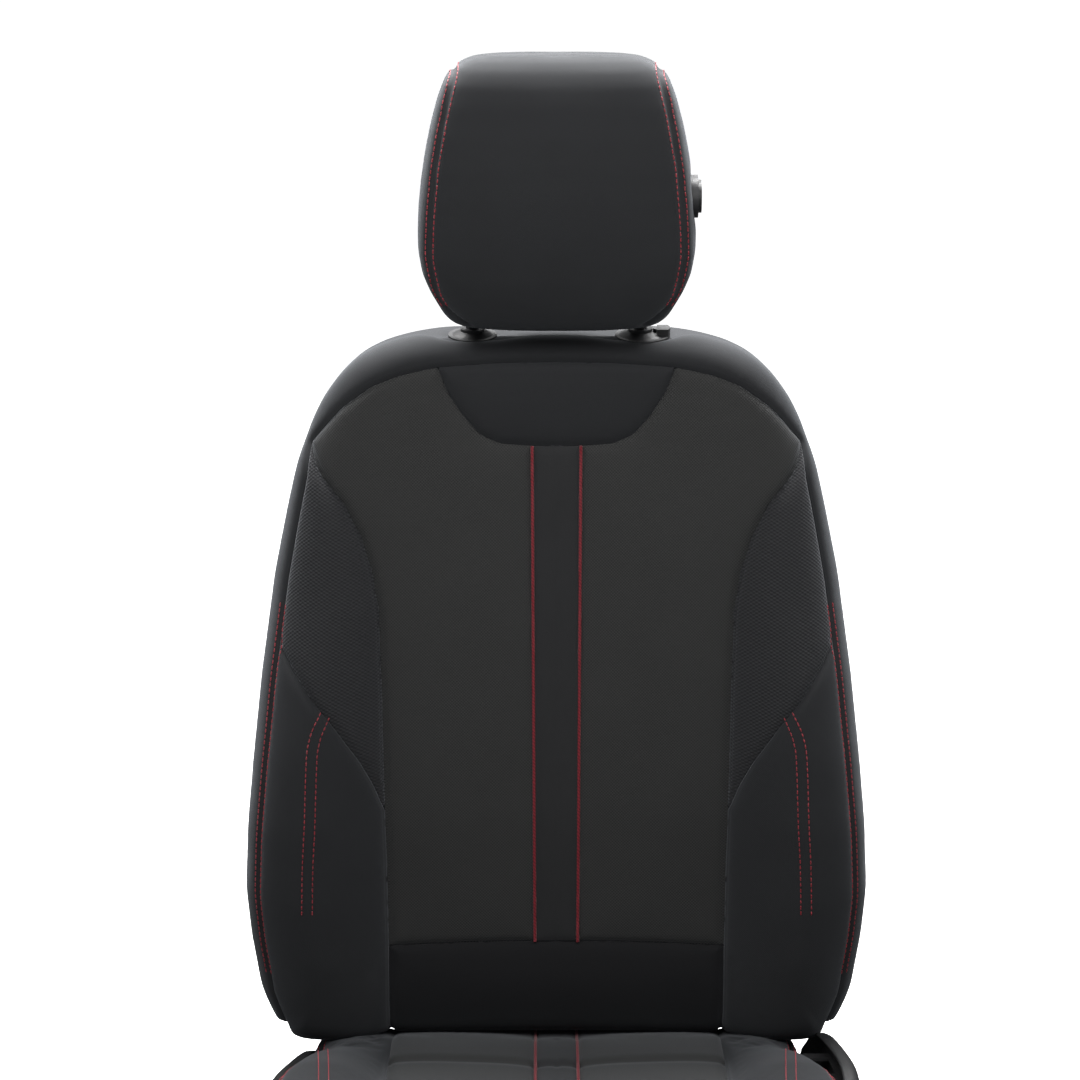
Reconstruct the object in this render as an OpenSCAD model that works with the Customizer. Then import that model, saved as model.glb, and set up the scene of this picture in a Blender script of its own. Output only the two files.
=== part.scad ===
// Sports front seat for a car: rails, height linkage, cushion, reclining backrest and headrest.
// +Z is up, -Y is the way the sitter faces, +X is the side with the levers.
// The origin is the centre of the four floor bolts, on the floor.

/* [Floor and rails] */
// Distance between the two rails, centre to centre
rail_spacing = 410; // [400:1:420]
// Length of each lower rail
lower_rail_length = 460; // [440:5:470]
// Length of each upper rail
upper_rail_length = 380; // [370:5:390]
// Distance between the front and the rear floor bolts
bolt_spacing = 490; // [480:2:500]
// Radius of each floor bolt hole
bolt_hole_r = 5.5; // [4.5:0.5:6.5]

/* [Height linkage] */
// Length of a link between its two pivots
link_length = 80; // [76:1:84]
// Angle of the links above level, at rest
link_angle = 20; // [16:1:24]
// Radius of a lower pivot pin
pin_r = 6; // [5:0.5:6]
// Outer radius of the two torsion tubes
torsion_r = 12; // [10:1:12]

/* [Belt buckle] */
// Radius of the hole for the belt buckle's anchor bolt
buckle_hole_r = 5.75; // [5.5:0.25:6.5]

/* [Backrest] */
// Lean of the backrest back from upright, at rest
recline = 8; // [6:1:10]
// Height of the recliner axis above the floor
recliner_height = 255; // [253:1:257]
// Distance of the recliner axis behind the origin
recliner_back = 200; // [198:1:203]
// Radius of the rod that joins the two recliners
sync_rod_r = 6; // [5:0.5:6]
// Thickness of the plastic back panel
panel_wall = 3; // [2.5:0.5:3.5]

/* [Headrest] */
// Distance between the two headrest posts
post_spacing = 152; // [148:1:156]
// Radius of a headrest post
post_r = 6; // [5.5:0.5:6]
// Forward lean of the posts against the backrest
post_lean = 10; // [8:1:12]
// Height of the headrest's cross bar above its sleeves
bar_height = 130; // [126:1:134]

/* [Hidden] */
$fn = 48;

STEEL = "dimgray";
BLACK_STEEL = "#26282a";
ZINC = "silver";
FOAM = "#303234";
FABRIC = "#2c2e2f";
PLASTIC = "#1f2122";

rail_x = rail_spacing / 2;
recliner = [0, recliner_back, recliner_height];
pivot_z = 75;                 // height of the links' lower pivots
rear_pivot_y = 80;
front_pivot_y = -165;
link_dy = link_length * cos(link_angle);
link_dz = link_length * sin(link_angle);
gap = 0.3;                    // clearance between faces that move past each other
run = 0.06;                   // radial clearance of a running pin

// ---- helpers ----

// A closed solid through a stack of outlines, each a list of points in the same order, anticlockwise from above.
module loft(stack) {
    rings = len(stack);
    n = len(stack[0]);
    points = [for (ring = stack) for (p = ring) p];
    sides = [
        for (k = [0:rings - 2]) for (i = [0:n - 1])
            let (a = k * n + i, b = k * n + (i + 1) % n)
            for (face = [[a, a + n, b + n], [a, b + n, b]]) face
    ];
    bottom = [for (i = [0:n - 1]) i];
    top = [for (i = [n - 1:-1:0]) (rings - 1) * n + i];
    polyhedron(points = points, faces = concat(sides, [bottom, top]), convexity = 6);
}

// A rounded outline at height z: half width w, from y = front to y = back; a small power gives square corners.
function rounded_ring(w, front, back, z, power = 0.55, n = 32) = [
    for (i = [0:n - 1])
        let (a = 360 * (i + 0.5) / n, c = cos(a), s = sin(a))
        [
            w * sign(c) * pow(abs(c), power),
            (front + back) / 2 + (back - front) / 2 * sign(s) * pow(abs(s), power),
            z
        ]
];

// A rod of radius r along X from x0 to x1 at the given y and z.
module rod_x(x0, x1, y, z, r) {
    translate([min(x0, x1), y, z]) rotate([0, 90, 0]) cylinder(r = r, h = abs(x1 - x0));
}

// Its children drawn on both sides of the seat.
module both_sides() {
    children();
    mirror([1, 0, 0]) children();
}

// The backrest's own frame: z runs up the backrest from the recliner axis, and -y is its front.
module on_backrest() {
    translate(recliner) rotate([-recline, 0, 0]) children();
}

sleeve_front = 25;            // the sleeves stand this far in front of the recliner axis
sleeve_height = 632;          // and this far up the backrest

// The headrest's own frame: z runs up the posts from the sleeves' flanges.
module on_headrest() {
    on_backrest() translate([0, -sleeve_front, sleeve_height]) rotate([post_lean, 0, 0]) children();
}

// A stadium outline: length along y, width along x.
module stadium(length, width) {
    for (s = [-1, 1]) translate([0, s * (length - width) / 2]) circle(d = width);
    square([width, length - width], center = true);
}

// ---- floor rails ----

rail_base_z = 12;
rail_top_z = 34;
rail_w = 48;
rail_wall = 2.5;
slot_half = 9;

module lower_rail(side) {
    translate([side * rail_x, 0, 0]) rotate([90, 0, 0])
        linear_extrude(height = lower_rail_length, center = true) {
            translate([-rail_w / 2, rail_base_z]) square([rail_w, rail_wall]);
            for (s = [0, 1]) mirror([s, 0]) {
                translate([rail_w / 2 - rail_wall, rail_base_z])
                    square([rail_wall, rail_top_z - rail_base_z]);
                translate([slot_half, rail_top_z - rail_wall])
                    square([rail_w / 2 - slot_half, rail_wall]);
                translate([slot_half, rail_top_z - 8]) square([rail_wall, 8]);
            }
        }
}

module lower_rail_left() color(STEEL) lower_rail(-1);
module lower_rail_right() color(STEEL) lower_rail(1);

// Four feet riveted under the ends of the rails, each with one floor bolt hole.
module rail_feet() {
    foot_w = 46;
    foot_l = 60;
    foot_t = 6;
    color(BLACK_STEEL)
        for (sx = [-1, 1], sy = [-1, 1])
            translate([sx * rail_x, sy * bolt_spacing / 2, 0])
                difference() {
                    union() {
                        translate([-foot_w / 2, -foot_l / 2 - sy * 5, 0]) cube([foot_w, foot_l, foot_t]);
                        translate([-foot_w / 2, -9 - sy * 25, foot_t - 0.5])
                            cube([foot_w, 18, rail_base_z - foot_t + 0.5]);
                    }
                    translate([0, 0, -1]) cylinder(r = bolt_hole_r, h = foot_t + 2);
                }
}

// ---- sliding rails ----

web_w = 12;
web_top_z = 58;
flange_z = 18;

module upper_rail(side) {
    translate([side * rail_x, 0, 0]) rotate([90, 0, 0])
        linear_extrude(height = upper_rail_length, center = true)
            difference() {
                union() {
                    translate([-19, flange_z]) square([38, 3]);
                    translate([-web_w / 2, flange_z]) square([web_w, web_top_z - flange_z]);
                }
                translate([-web_w / 2 + 2.5, flange_z + 3])
                    square([web_w - 5, web_top_z - flange_z - 5.5]);
            }
}

module upper_rail_left() color(ZINC) upper_rail(-1);
module upper_rail_right() color(ZINC) upper_rail(1);

// Rollers that carry the upper rails inside the lower ones.
module rail_rollers() {
    roller_r = (flange_z - rail_base_z - rail_wall) / 2 - 0.05;
    color(ZINC)
        for (side = [-1, 1], y = [-105, -35, 35, 105])
            rod_x(side * rail_x - 14, side * rail_x + 14, y, flange_z - roller_r - 0.02, roller_r);
}

cross_z = 44;

module rail_cross_tube() {
    inner = rail_x - web_w / 2;
    color(BLACK_STEEL) difference() {
        rod_x(-inner, inner, 150, cross_z, 9);
        rod_x(-inner - 1, inner + 1, 150, cross_z, 7);
    }
}

handle_y = -175;

module handle_pivot_rod() {
    inner = rail_x - web_w / 2;
    color(ZINC) rod_x(-inner, inner, handle_y, cross_z, 5);
}

bracket_in = rail_x - 2;      // inner face of a bracket's plate
bracket_t = 4;

// The four brackets on the upper rails that carry the links.
module link_brackets() {
    color(BLACK_STEEL)
        both_sides() for (y = [rear_pivot_y, front_pivot_y])
            difference() {
                union() {
                    translate([rail_x - web_w / 2, y - 22, web_top_z]) cube([web_w, 44, 4]);
                    translate([bracket_in, y - 13, web_top_z + 3]) cube([bracket_t, 26, pivot_z - web_top_z - 3]);
                    rod_x(bracket_in, bracket_in + bracket_t, y, pivot_z, 13);
                }
                rod_x(bracket_in - 1, bracket_in + bracket_t + 1, y, pivot_z, pin_r + 0.02);
            }
}

module link_lower_pins() {
    color(ZINC)
        both_sides() for (y = [rear_pivot_y, front_pivot_y]) {
            rod_x(194.5, bracket_in + bracket_t + 1, y, pivot_z, pin_r);
            rod_x(bracket_in + bracket_t + 0.1, bracket_in + bracket_t + 4, y, pivot_z, pin_r + 3.5);
        }
}

// ---- slide handle ----

grip_y = -392;
grip_z = 74;

module slide_handle_arms() {
    arm_x = 170;
    color(BLACK_STEEL)
        both_sides() difference() {
            union() {
                rod_x(arm_x - 5, arm_x + 5, handle_y, cross_z, 10);
                hull() {
                    rod_x(arm_x - 3, arm_x + 3, handle_y - 6, cross_z, 4);
                    rod_x(arm_x - 3, arm_x + 3, -300, cross_z + 4, 6);
                }
                hull() {
                    rod_x(arm_x - 3, arm_x + 3, -300, cross_z + 4, 6);
                    rod_x(arm_x - 3, arm_x + 3, grip_y, grip_z, 6);
                }
            }
            rod_x(arm_x - 6, arm_x + 6, handle_y, cross_z, 5 + run);
        }
}

module slide_handle_grip() {
    color(PLASTIC) rod_x(-166.9, 166.9, grip_y, grip_z, 8);
}

// ---- height linkage ----

link_in = 196;
link_t = 4;

// A pair of links from one lower pivot, each with a bore below and a seat for the torsion tube above.
module link_pair(y) {
    color(ZINC)
        both_sides() translate([link_in, y, pivot_z]) rotate([90, 0, 90]) linear_extrude(height = link_t)
            difference() {
                union() {
                    circle(r = 13);
                    translate([link_dy, link_dz]) circle(r = 15);
                    rotate(link_angle) translate([8, -9.5]) square([link_length - 16, 19]);
                }
                circle(r = pin_r + run);
            }
}

module torsion_tube(y) {
    color(BLACK_STEEL) difference() {
        rod_x(-link_in, link_in, y + link_dy, pivot_z + link_dz, torsion_r);
        rod_x(-link_in - 1, link_in + 1, y + link_dy, pivot_z + link_dz, torsion_r - 2.5);
    }
}

module rear_links() link_pair(rear_pivot_y);
module front_links() link_pair(front_pivot_y);
module rear_torsion_tube() torsion_tube(rear_pivot_y);
module front_torsion_tube() torsion_tube(front_pivot_y);

// ---- cushion frame ----

plate_in = 188;
plate_t = 4;
buckle_y = 178;
buckle_z = 185;

// Places of the recliner's bolts, as turns about its axis.
bolt_turns = [45, 135, 225, 315];
bolt_circle = 23;
bolt_r = 3;

module recliner_bolt_holes(x0, x1) {
    for (a = bolt_turns)
        rod_x(x0, x1, recliner[1] + bolt_circle * cos(a), recliner[2] + bolt_circle * sin(a), bolt_r + 0.05);
}

// Side plate of the cushion frame, with its tower up to the recliner.
module side_plate() {
    rear = [rear_pivot_y + link_dy, pivot_z + link_dz];
    front = [front_pivot_y + link_dy, pivot_z + link_dz];
    difference() {
        union() {
            translate([plate_in, 0, 0]) rotate([90, 0, 90]) linear_extrude(height = plate_t)
                polygon([
                    [-262, 158], [-266, 178], [-256, 198], [-200, 198], [-60, 188], [70, 186], [120, 194],
                    [162, 236], [236, 236], [212, 200], [198, 150], [190, 92], [rear[0] + 12, rear[1] - 21],
                    [rear[0] - 16, rear[1] - 21], [70, 118], [-40, 118], [front[0] + 18, front[1] - 21],
                    [front[0] - 16, front[1] - 21], [-150, 120], [-240, 140]
                ]);
            rod_x(plate_in, plate_in + plate_t, recliner[1], recliner[2], 42);
        }
        rod_x(plate_in - 1, plate_in + plate_t + 1, rear[0], rear[1], torsion_r + 0.08);
        rod_x(plate_in - 1, plate_in + plate_t + 1, front[0], front[1], torsion_r + 0.6);
        rod_x(plate_in - 1, plate_in + plate_t + 1, recliner[1], recliner[2], sync_rod_r + 0.1);
        recliner_bolt_holes(plate_in - 1, plate_in + plate_t + 1);
    }
}

// The plate on the buckle's side has a hole for the belt buckle's anchor bolt.
module cushion_side_frame_left() color(BLACK_STEEL) mirror([1, 0, 0]) difference() {
    side_plate();
    rod_x(plate_in - 1, plate_in + plate_t + 1, buckle_y, buckle_z, buckle_hole_r);
}
module cushion_side_frame_right() color(BLACK_STEEL) side_plate();

// Stamped pan under the front of the cushion.
module cushion_front_pan() {
    pan_w = 2 * plate_in;
    color(BLACK_STEEL) translate([-pan_w / 2, 0, 0]) rotate([90, 0, 90]) linear_extrude(height = pan_w)
        polygon([
            [-84, 150], [-80, 150], [-80, 168], [-250, 193], [-262, 184], [-262, 164], [-258, 164],
            [-258, 182], [-249, 188], [-84, 164]
        ]);
}

rear_tube_y = 140;
rear_tube_z = 152;

module cushion_rear_tube() {
    color(BLACK_STEEL) difference() {
        rod_x(-plate_in, plate_in, rear_tube_y, rear_tube_z, 10);
        rod_x(-plate_in - 1, plate_in + 1, rear_tube_y, rear_tube_z, 8);
    }
}

// A flat serpentine band from y0 to y1, as the outline of one zigzag spring.
function zigzag(y0, y1, half, turns, w) =
    let (
        n = turns * 8,
        mid = [for (i = [0:n]) [half * sin(360 * i * turns / n), y0 + (y1 - y0) * i / n]],
        edge = [
            for (i = [0:n])
                let (d = 360 * turns / (y1 - y0) * half * PI / 180 * cos(360 * i * turns / n), l = sqrt(1 + d * d))
                [1 / l, -d / l] * w / 2
        ]
    )
    concat([for (i = [0:n]) mid[i] + edge[i]], [for (i = [n:-1:0]) mid[i] - edge[i]]);

module cushion_springs() {
    color(ZINC)
        for (x = [-120, -40, 40, 120])
            translate([x, 0, 156]) linear_extrude(height = 3.5)
                polygon(zigzag(-78.2, rear_tube_y - 11, 22, 5, 3.5));
}

// ---- cushion pads ----

// The cushion's own frame: z runs forward from the origin, and y is up.
module facing_forward() {
    rotate([90, 0, 0]) children();
}

cushion_seam_x = 150;
// Forward distance, height of the cushion's top along its middle, and its underside
cushion_middle = [
    [-122, 245, 205], [-112, 262, 196], [-95, 269, 180], [-65, 275, 165], [0, 283, 162], [74, 292, 163],
    [82, 293, 170], [200, 311, 188], [268, 324, 196], [273, 325, 184], [330, 331, 186], [360, 324, 194],
    [380, 306, 208], [390, 280, 222]
];
// Forward distance, height of the bolster's crest, and half width of the cushion
cushion_side = [
    [-122, 232, 196], [-112, 240, 205], [-95, 252, 214], [-65, 268, 221], [-30, 286, 229], [0, 300, 236],
    [60, 318, 247], [150, 333, 257], [250, 343, 259], [310, 342, 252], [350, 330, 236], [380, 300, 205]
];
function middle_top(f) = lookup(f, [for (r = cushion_middle) [r[0], r[1]]]);
function middle_under(f) = lookup(f, [for (r = cushion_middle) [r[0], r[2]]]);

module cushion_centre_pad() {
    color(FABRIC) facing_forward() loft([
        for (r = cushion_middle)
            let (w = cushion_seam_x * (r[0] > 370 ? 0.96 : 1))
            [
                [-w, r[2], r[0]], [w, r[2], r[0]], [w, r[1], r[0]],
                [w / 2, r[1] - 3, r[0]], [0, r[1] - 4, r[0]], [-w / 2, r[1] - 3, r[0]], [-w, r[1], r[0]]
            ]
    ]);
}

// One side bolster of the cushion, which stands above the side plate.
module cushion_bolster() {
    floor_z = 200;
    facing_forward() loft([
        for (r = cushion_side)
            let (
                f = r[0], x0 = cushion_seam_x + gap, x1 = r[2],
                low = max(floor_z, middle_under(f)), drop = f < -60 ? 18 : 4, seam_z = max(low + 8, middle_top(f) - drop),
                crest = max(r[1], seam_z + 2), w = x1 - x0, h = crest - seam_z
            )
            [
                [x0, low, f], [x1 - 12, low, f], [x1 - 2, low + 6, f], [x1, (low + crest) / 2, f],
                [x1 - 0.10 * w, crest - 0.16 * (crest - low), f], [x0 + 0.66 * w, crest, f],
                [x0 + 0.42 * w, seam_z + 0.86 * h, f], [x0 + 0.18 * w, seam_z + 0.38 * h, f], [x0, seam_z, f]
            ]
    ]);
}

module cushion_bolster_left() color(FABRIC) mirror([1, 0, 0]) cushion_bolster();
module cushion_bolster_right() color(FABRIC) cushion_bolster();

// ---- side covers ----

cover_x = 272;                // outer face of the cover on the lever side
inner_cover_x = 264;          // and on the other side
cover_wall = 3;

// Side view of the covers, as y and z: the one on the lever side rises into a ridge beside the ledge.
cover_low = [[-318, 196], [-318, 150], [-300, 120], [-200, 104], [60, 104], [118, 118], [130, 150], [130, 240]];
outer_top = [[118, 250], [112, 262], [104, 270], [96, 272], [20, 272], [-30, 263], [-80, 250], [-180, 240], [-280, 222]];
inner_top = [[118, 252], [60, 252], [-60, 250], [-180, 240], [-280, 222]];
// How far a cover turns in towards the seat at its rear: y, and the distance from its outer face
cover_turn = [[-320, 0], [20, 0], [45, 3], [71, 9.5], [95, 17], [116, 24], [132, 31]];
function cover_face(y) = cover_x - lookup(y, cover_turn);
cover_skin = cover_wall + 0.3;

// The wall of a cover: its side view, cut out of a strip that turns in at the rear.
module cover_wall_at(x, top) {
    intersection() {
        translate([x - 60, 0, 0]) rotate([90, 0, 90]) linear_extrude(height = 70) polygon(concat(cover_low, top));
        translate([0, 0, 90]) linear_extrude(height = 210) polygon(concat(
            [for (r = cover_turn) [x - r[1], r[0]]],
            [for (i = [len(cover_turn) - 1:-1:0]) [x - cover_turn[i][1] - cover_skin, cover_turn[i][0]]]
        ));
    }
}

spindle_y = [-70, 62];        // the height lever's spindle and the recline lever's
spindle_z = [186, 190];

// Three stand-offs that carry a cover on the side plate, each with a screw.
stand_off_places = [[-245, 165], [-10, 160], [34, 142]];
screw_r = 2.5;

module stand_offs(x) {
    for (p = stand_off_places) rod_x(plate_in + plate_t, x - cover_wall + 0.01, p[0], p[1], 7);
}

module screw_holes(x) {
    for (p = stand_off_places) rod_x(x - 20, x + 1, p[0], p[1], screw_r + 0.05);
}

module cover_screws() {
    color(ZINC) for (side = [[1, cover_x], [-1, inner_cover_x]], p = stand_off_places) {
        rod_x(side[0] * (side[1] - 18), side[0] * (side[1] + 0.5), p[0], p[1], screw_r);
        rod_x(side[0] * side[1], side[0] * (side[1] + 2.2), p[0], p[1], 5);
    }
}

module side_cover_outer() {
    color(PLASTIC) difference() {
        union() {
            cover_wall_at(cover_x, outer_top);
            stand_offs(cover_x);
        }
        for (i = [0, 1]) rod_x(cover_x - 20, cover_x + 1, spindle_y[i], spindle_z[i], 6.06);
        screw_holes(cover_x);
    }
}

module side_cover_inner() {
    color(PLASTIC) mirror([1, 0, 0]) difference() {
        union() {
            cover_wall_at(inner_cover_x, inner_top);
            stand_offs(inner_cover_x);
        }
        screw_holes(inner_cover_x);
    }
}

// Flat ledge behind the cushion's corner on the lever side, around a rectangular window.
module window_surround() {
    color(PLASTIC) translate([0, 0, 246]) linear_extrude(height = 3) difference() {
        polygon(concat(
            [[256, -30], [242, 20], [226, 100]],
            [for (y = [100, 95, 71, 45, 20, -30]) [cover_face(y) - cover_skin, y]]
        ));
        polygon([[232, 58], [253, 58], [249, 90], [232, 90]]);
    }
}

module recliner_covers() {
    color(PLASTIC) both_sides() difference() {
        rod_x(plate_in + plate_t + 0.2, 201, recliner[1], recliner[2], 44);
        rod_x(plate_in + plate_t, 198, recliner[1], recliner[2], 40);
    }
}

// ---- levers ----

lever_in = cover_x + 0.5;
lever_t = 12;

module height_lever_spindle() {
    color(ZINC) rod_x(242, lever_in + 6, spindle_y[0], spindle_z[0], 6);
}

module recline_lever_spindle() {
    color(ZINC) rod_x(242, lever_in + 6, spindle_y[1], spindle_z[1], 6);
}

// A lever arm of the given length, forward and slightly up from its spindle.
module lever(i, length, rise) {
    color(PLASTIC) difference() {
        union() {
            rod_x(lever_in, lever_in + lever_t, spindle_y[i], spindle_z[i], 15);
            hull() {
                rod_x(lever_in + 1, lever_in + lever_t, spindle_y[i], spindle_z[i], 12);
                rod_x(lever_in + 2, lever_in + lever_t + 3, spindle_y[i] - length, spindle_z[i] + rise, 8);
            }
        }
        rod_x(lever_in - 1, lever_in + 6.02, spindle_y[i], spindle_z[i], 6.02);
    }
}

module height_lever() lever(0, 150, 14);
module recline_lever() lever(1, 78, 12);

// ---- recliners ----

disc_r = 32;
disc_in = 180;                // inner face of the moving disc

module recliner_fixed_discs() {
    color(ZINC) both_sides() difference() {
        rod_x(disc_in + 4 + gap, plate_in, recliner[1], recliner[2], disc_r);
        rod_x(disc_in, plate_in + 1, recliner[1], recliner[2], sync_rod_r + 0.1);
        recliner_bolt_holes(disc_in, plate_in + 1);
    }
}

module recliner_bolts() {
    color(ZINC) both_sides() for (a = bolt_turns)
        translate([0, recliner[1] + bolt_circle * cos(a), recliner[2] + bolt_circle * sin(a)]) {
            rod_x(disc_in + 5, plate_in + plate_t + 0.5, 0, 0, bolt_r);
            rod_x(plate_in + plate_t, plate_in + plate_t + 4, 0, 0, 5.5);
        }
}

module recliner_moving_discs() {
    color(ZINC) on_backrest() both_sides() difference() {
        rod_x(disc_in, disc_in + 4, 0, 0, disc_r);
        rod_x(disc_in - 1, disc_in + 5, 0, 0, sync_rod_r + 0.1);
    }
}

module recliner_sync_rod() {
    color(ZINC) rod_x(-196, 196, recliner[1], recliner[2], sync_rod_r);
}

module recliner_release_arm() {
    color(BLACK_STEEL) translate(recliner) difference() {
        union() {
            rod_x(164, 170, 0, 0, 12);
            translate([164, -7, -40]) cube([6, 14, 40]);
        }
        rod_x(163, 171, 0, 0, sync_rod_r + 0.01);
    }
}

// ---- backrest frame, in the backrest's own frame ----

side_out = 180;               // outer face of the backrest's side frames
frame_back = 50;              // depth of the frame behind the recliner axis
frame_front = 3.3;

module backrest_side() {
    sheet = 3;
    top = 545;
    difference() {
        union() {
            translate([side_out - sheet, 0, 0]) rotate([90, 0, 90]) linear_extrude(height = sheet)
                polygon([
                    [frame_front, top], [frame_front, 60], [-36, 20], [-38, -14], [-14, -38], [16, -38], [38, -10],
                    [frame_back, 50], [frame_back, top]
                ]);
            for (y = [frame_front, frame_back - sheet])
                translate([side_out - sheet - 18, y, 60]) cube([18.5, sheet, top - 60]);
        }
        rod_x(side_out - sheet - 1, side_out + 1, 0, 0, sync_rod_r + 0.1);
    }
}

module backrest_side_frame_left() color(BLACK_STEEL) on_backrest() mirror([1, 0, 0]) backrest_side();
module backrest_side_frame_right() color(BLACK_STEEL) on_backrest() backrest_side();

beam_half = side_out - 3 - 18;

// Box beam across the top of the frame, which the headrest sockets are welded to.
module backrest_upper_beam() {
    color(BLACK_STEEL) on_backrest() difference() {
        translate([-beam_half, 4, 500]) cube([2 * beam_half, 34, 42]);
        translate([-beam_half - 1, 6.5, 502.5]) cube([2 * beam_half + 2, 29, 37]);
        for (s = [-1, 1]) translate([s * post_spacing / 2, 0, 0]) socket_path(13.2);
    }
}

module backrest_lower_beam() {
    color(BLACK_STEEL) on_backrest() difference() {
        translate([-beam_half, 4, 70]) cube([2 * beam_half, 30, 40]);
        translate([-beam_half - 1, 6.5, 72.5]) cube([2 * beam_half + 2, 25, 35]);
    }
}

// The line of one headrest post through the backrest, as a cylinder.
module socket_path(r) {
    translate([0, -sleeve_front, sleeve_height]) rotate([post_lean, 0, 0])
        translate([0, 0, -220]) cylinder(r = r, h = 240);
}

module backrest_springs() {
    color(ZINC) on_backrest()
        for (x = [-110, -37, 37, 110])
            translate([x, 7.1, 0]) rotate([90, 0, 0]) linear_extrude(height = 3.5)
                polygon(zigzag(112, 498, 20, 8, 3.5));
}

module headrest_sockets() {
    color(BLACK_STEEL) on_headrest() both_sides() translate([post_spacing / 2, 0, 0]) difference() {
        translate([0, 0, -150]) cylinder(r = 13, h = 132);
        translate([0, 0, -151]) cylinder(r = 10.6, h = 134);
    }
}

// ---- backrest pads, in the backrest's own frame ----

pad_back = 3;                 // the pads' flat back, just in front of the frame
wing_back = 47;               // rear edge of the side wings
// Height up the backrest and half width of its outline
outline = [
    [-8, 253], [40, 270], [90, 278], [135, 282], [190, 280], [250, 275], [330, 267], [420, 255], [480, 243],
    [520, 234], [556, 221], [578, 210], [600, 194], [615, 178], [626, 156], [633, 130], [637, 104]
];
// Height and half width of the seam between the middle and the bolsters
seam = [[-8, 152], [150, 152], [300, 156], [390, 160], [430, 168], [462, 178], [500, 198], [540, 214]];
// Height and depth of the middle's front face before the recliner axis
face = [
    [2, 84], [20, 92], [45, 95], [70, 90], [120, 92], [200, 93], [300, 87], [400, 79], [500, 71], [560, 66]
];
// Height and depth of the bolster's crest
crest = [
    [-8, 108], [20, 122], [70, 136], [130, 142], [200, 140], [260, 131], [330, 116], [400, 99], [480, 82], [560, 70]
];
split = 560;                  // the shoulder pad starts here
seam_at = 70;                 // the lumbar roll ends here

module backrest_middle(levels) {
    on_backrest() loft([
        for (s = levels)
            let (w = lookup(s, seam), t = lookup(s, face))
            [
                [-w, -t, s], [-w / 2, -t + 4, s], [0, -t + 5, s], [w / 2, -t + 4, s], [w, -t, s],
                [w, pad_back, s], [-w, pad_back, s]
            ]
    ]);
}

module backrest_centre_pad() {
    color(FABRIC) difference() {
        backrest_middle([seam_at + 0.1, 120, 150, 200, 300, 390, 430, 462, 500, 540, split - 0.1]);
        socket_clearance();
    }
}

module backrest_lumbar_roll() {
    color(FABRIC) difference() {
        backrest_middle([2, 8, 20, 45, seam_at]);
        rod_clearance();
    }
}

// Room for the headrest sockets and their sleeves in the pads.
module socket_clearance() {
    on_headrest() both_sides() translate([post_spacing / 2, 0, -200]) cylinder(r = 13.4, h = 230);
}

// Room for the rod between the recliners.
module rod_clearance() {
    on_backrest() rod_x(-170, 170, 0, 0, sync_rod_r + 6, $fn = 12);
}

// One side bolster, with a wing that wraps the frame; below its knee it leaves room for the recliner.
module backrest_bolster() {
    knee = 60;
    on_backrest() loft([
        for (s = [-8, 4, 20, 40, 57, 72, 100, 130, 150, 200, 260, 300, 345, 390, 430, 462, 500, 540, split - 0.1])
            let (
                x0 = lookup(s, seam) + gap, x1 = lookup(s, outline), t0 = lookup(s, face), t1 = lookup(s, crest),
                w = x1 - x0, h = max(t1 - t0, 1),
                inside = s < knee ? 204 : 190, rear = s < knee ? -54 : pad_back
            )
            [
                [x0, -t0, s], [x0 + 0.18 * w, -t0 - 0.34 * h, s], [x0 + 0.42 * w, -t0 - 0.82 * h, s],
                [x0 + 0.66 * w, -t1, s], [x0 + 0.84 * w, -0.9 * t1, s], [x0 + 0.95 * w, -0.66 * t1, s],
                [x1, -0.36 * t1, s], [x1, -5, s], [x1 - 6, 30, s], [x1 - 14, wing_back, s],
                [inside, wing_back, s], [inside, rear, s], [x0, rear, s]
            ]
    ]);
}

module backrest_bolster_left() color(FABRIC) mirror([1, 0, 0]) backrest_bolster();
module backrest_bolster_right() color(FABRIC) backrest_bolster();

// Height, front and back of the shoulder pad, rolling over to the top edge
shoulder = [
    [split, -66, 47], [580, -63, 47], [600, -58, 46], [612, -52, 45], [622, -43, 43], [629, -32, 40],
    [634, -18, 36], [637, -2, 28]
];

module backrest_shoulder_pad() {
    color(FABRIC) difference() {
        on_backrest() loft([
            for (r = shoulder)
                rounded_ring(lookup(r[0], outline), r[1], r[2], r[0], 0.42, 36)
        ]);
        socket_clearance();
        on_headrest() both_sides() translate([post_spacing / 2 + 2, 0, -0.4]) cylinder(r = 28, h = 40);
    }
}

// ---- back panel ----

panel_front = wing_back + gap;
panel_depth = 19;

// Outline of the panel, drawn in by the given distance; its lower corners leave room for the recliners.
function panel_outline(inset) =
    let (right = concat(
        [[172 - inset, -34 + inset], [172 - inset, 34 + inset]],
        [for (s = [40, 90, 135, 190, 250, 330, 420, 480, 520, 556, 578, 600, 614])
            [lookup(s, outline) - 15 - inset, s + (s == 40 ? inset : 0) - (s > 560 ? inset * 0.6 : 0)]],
        [[138 - inset, 624 - inset], [90, 628 - inset]]
    ))
    concat(right, [for (i = [len(right) - 1:-1:0]) [-right[i][0], right[i][1]]]);

module back_panel() {
    color(PLASTIC) on_backrest() translate([0, panel_front, 0]) rotate([90, 0, 180]) difference() {
        linear_extrude(height = panel_depth) polygon(panel_outline(0));
        translate([0, 0, -1]) linear_extrude(height = panel_depth - panel_wall + 1)
            polygon(panel_outline(panel_wall));
    }
}

// ---- headrest ----

sleeve_r = 10.4;
sleeve_bore = post_r + 0.15;

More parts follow.
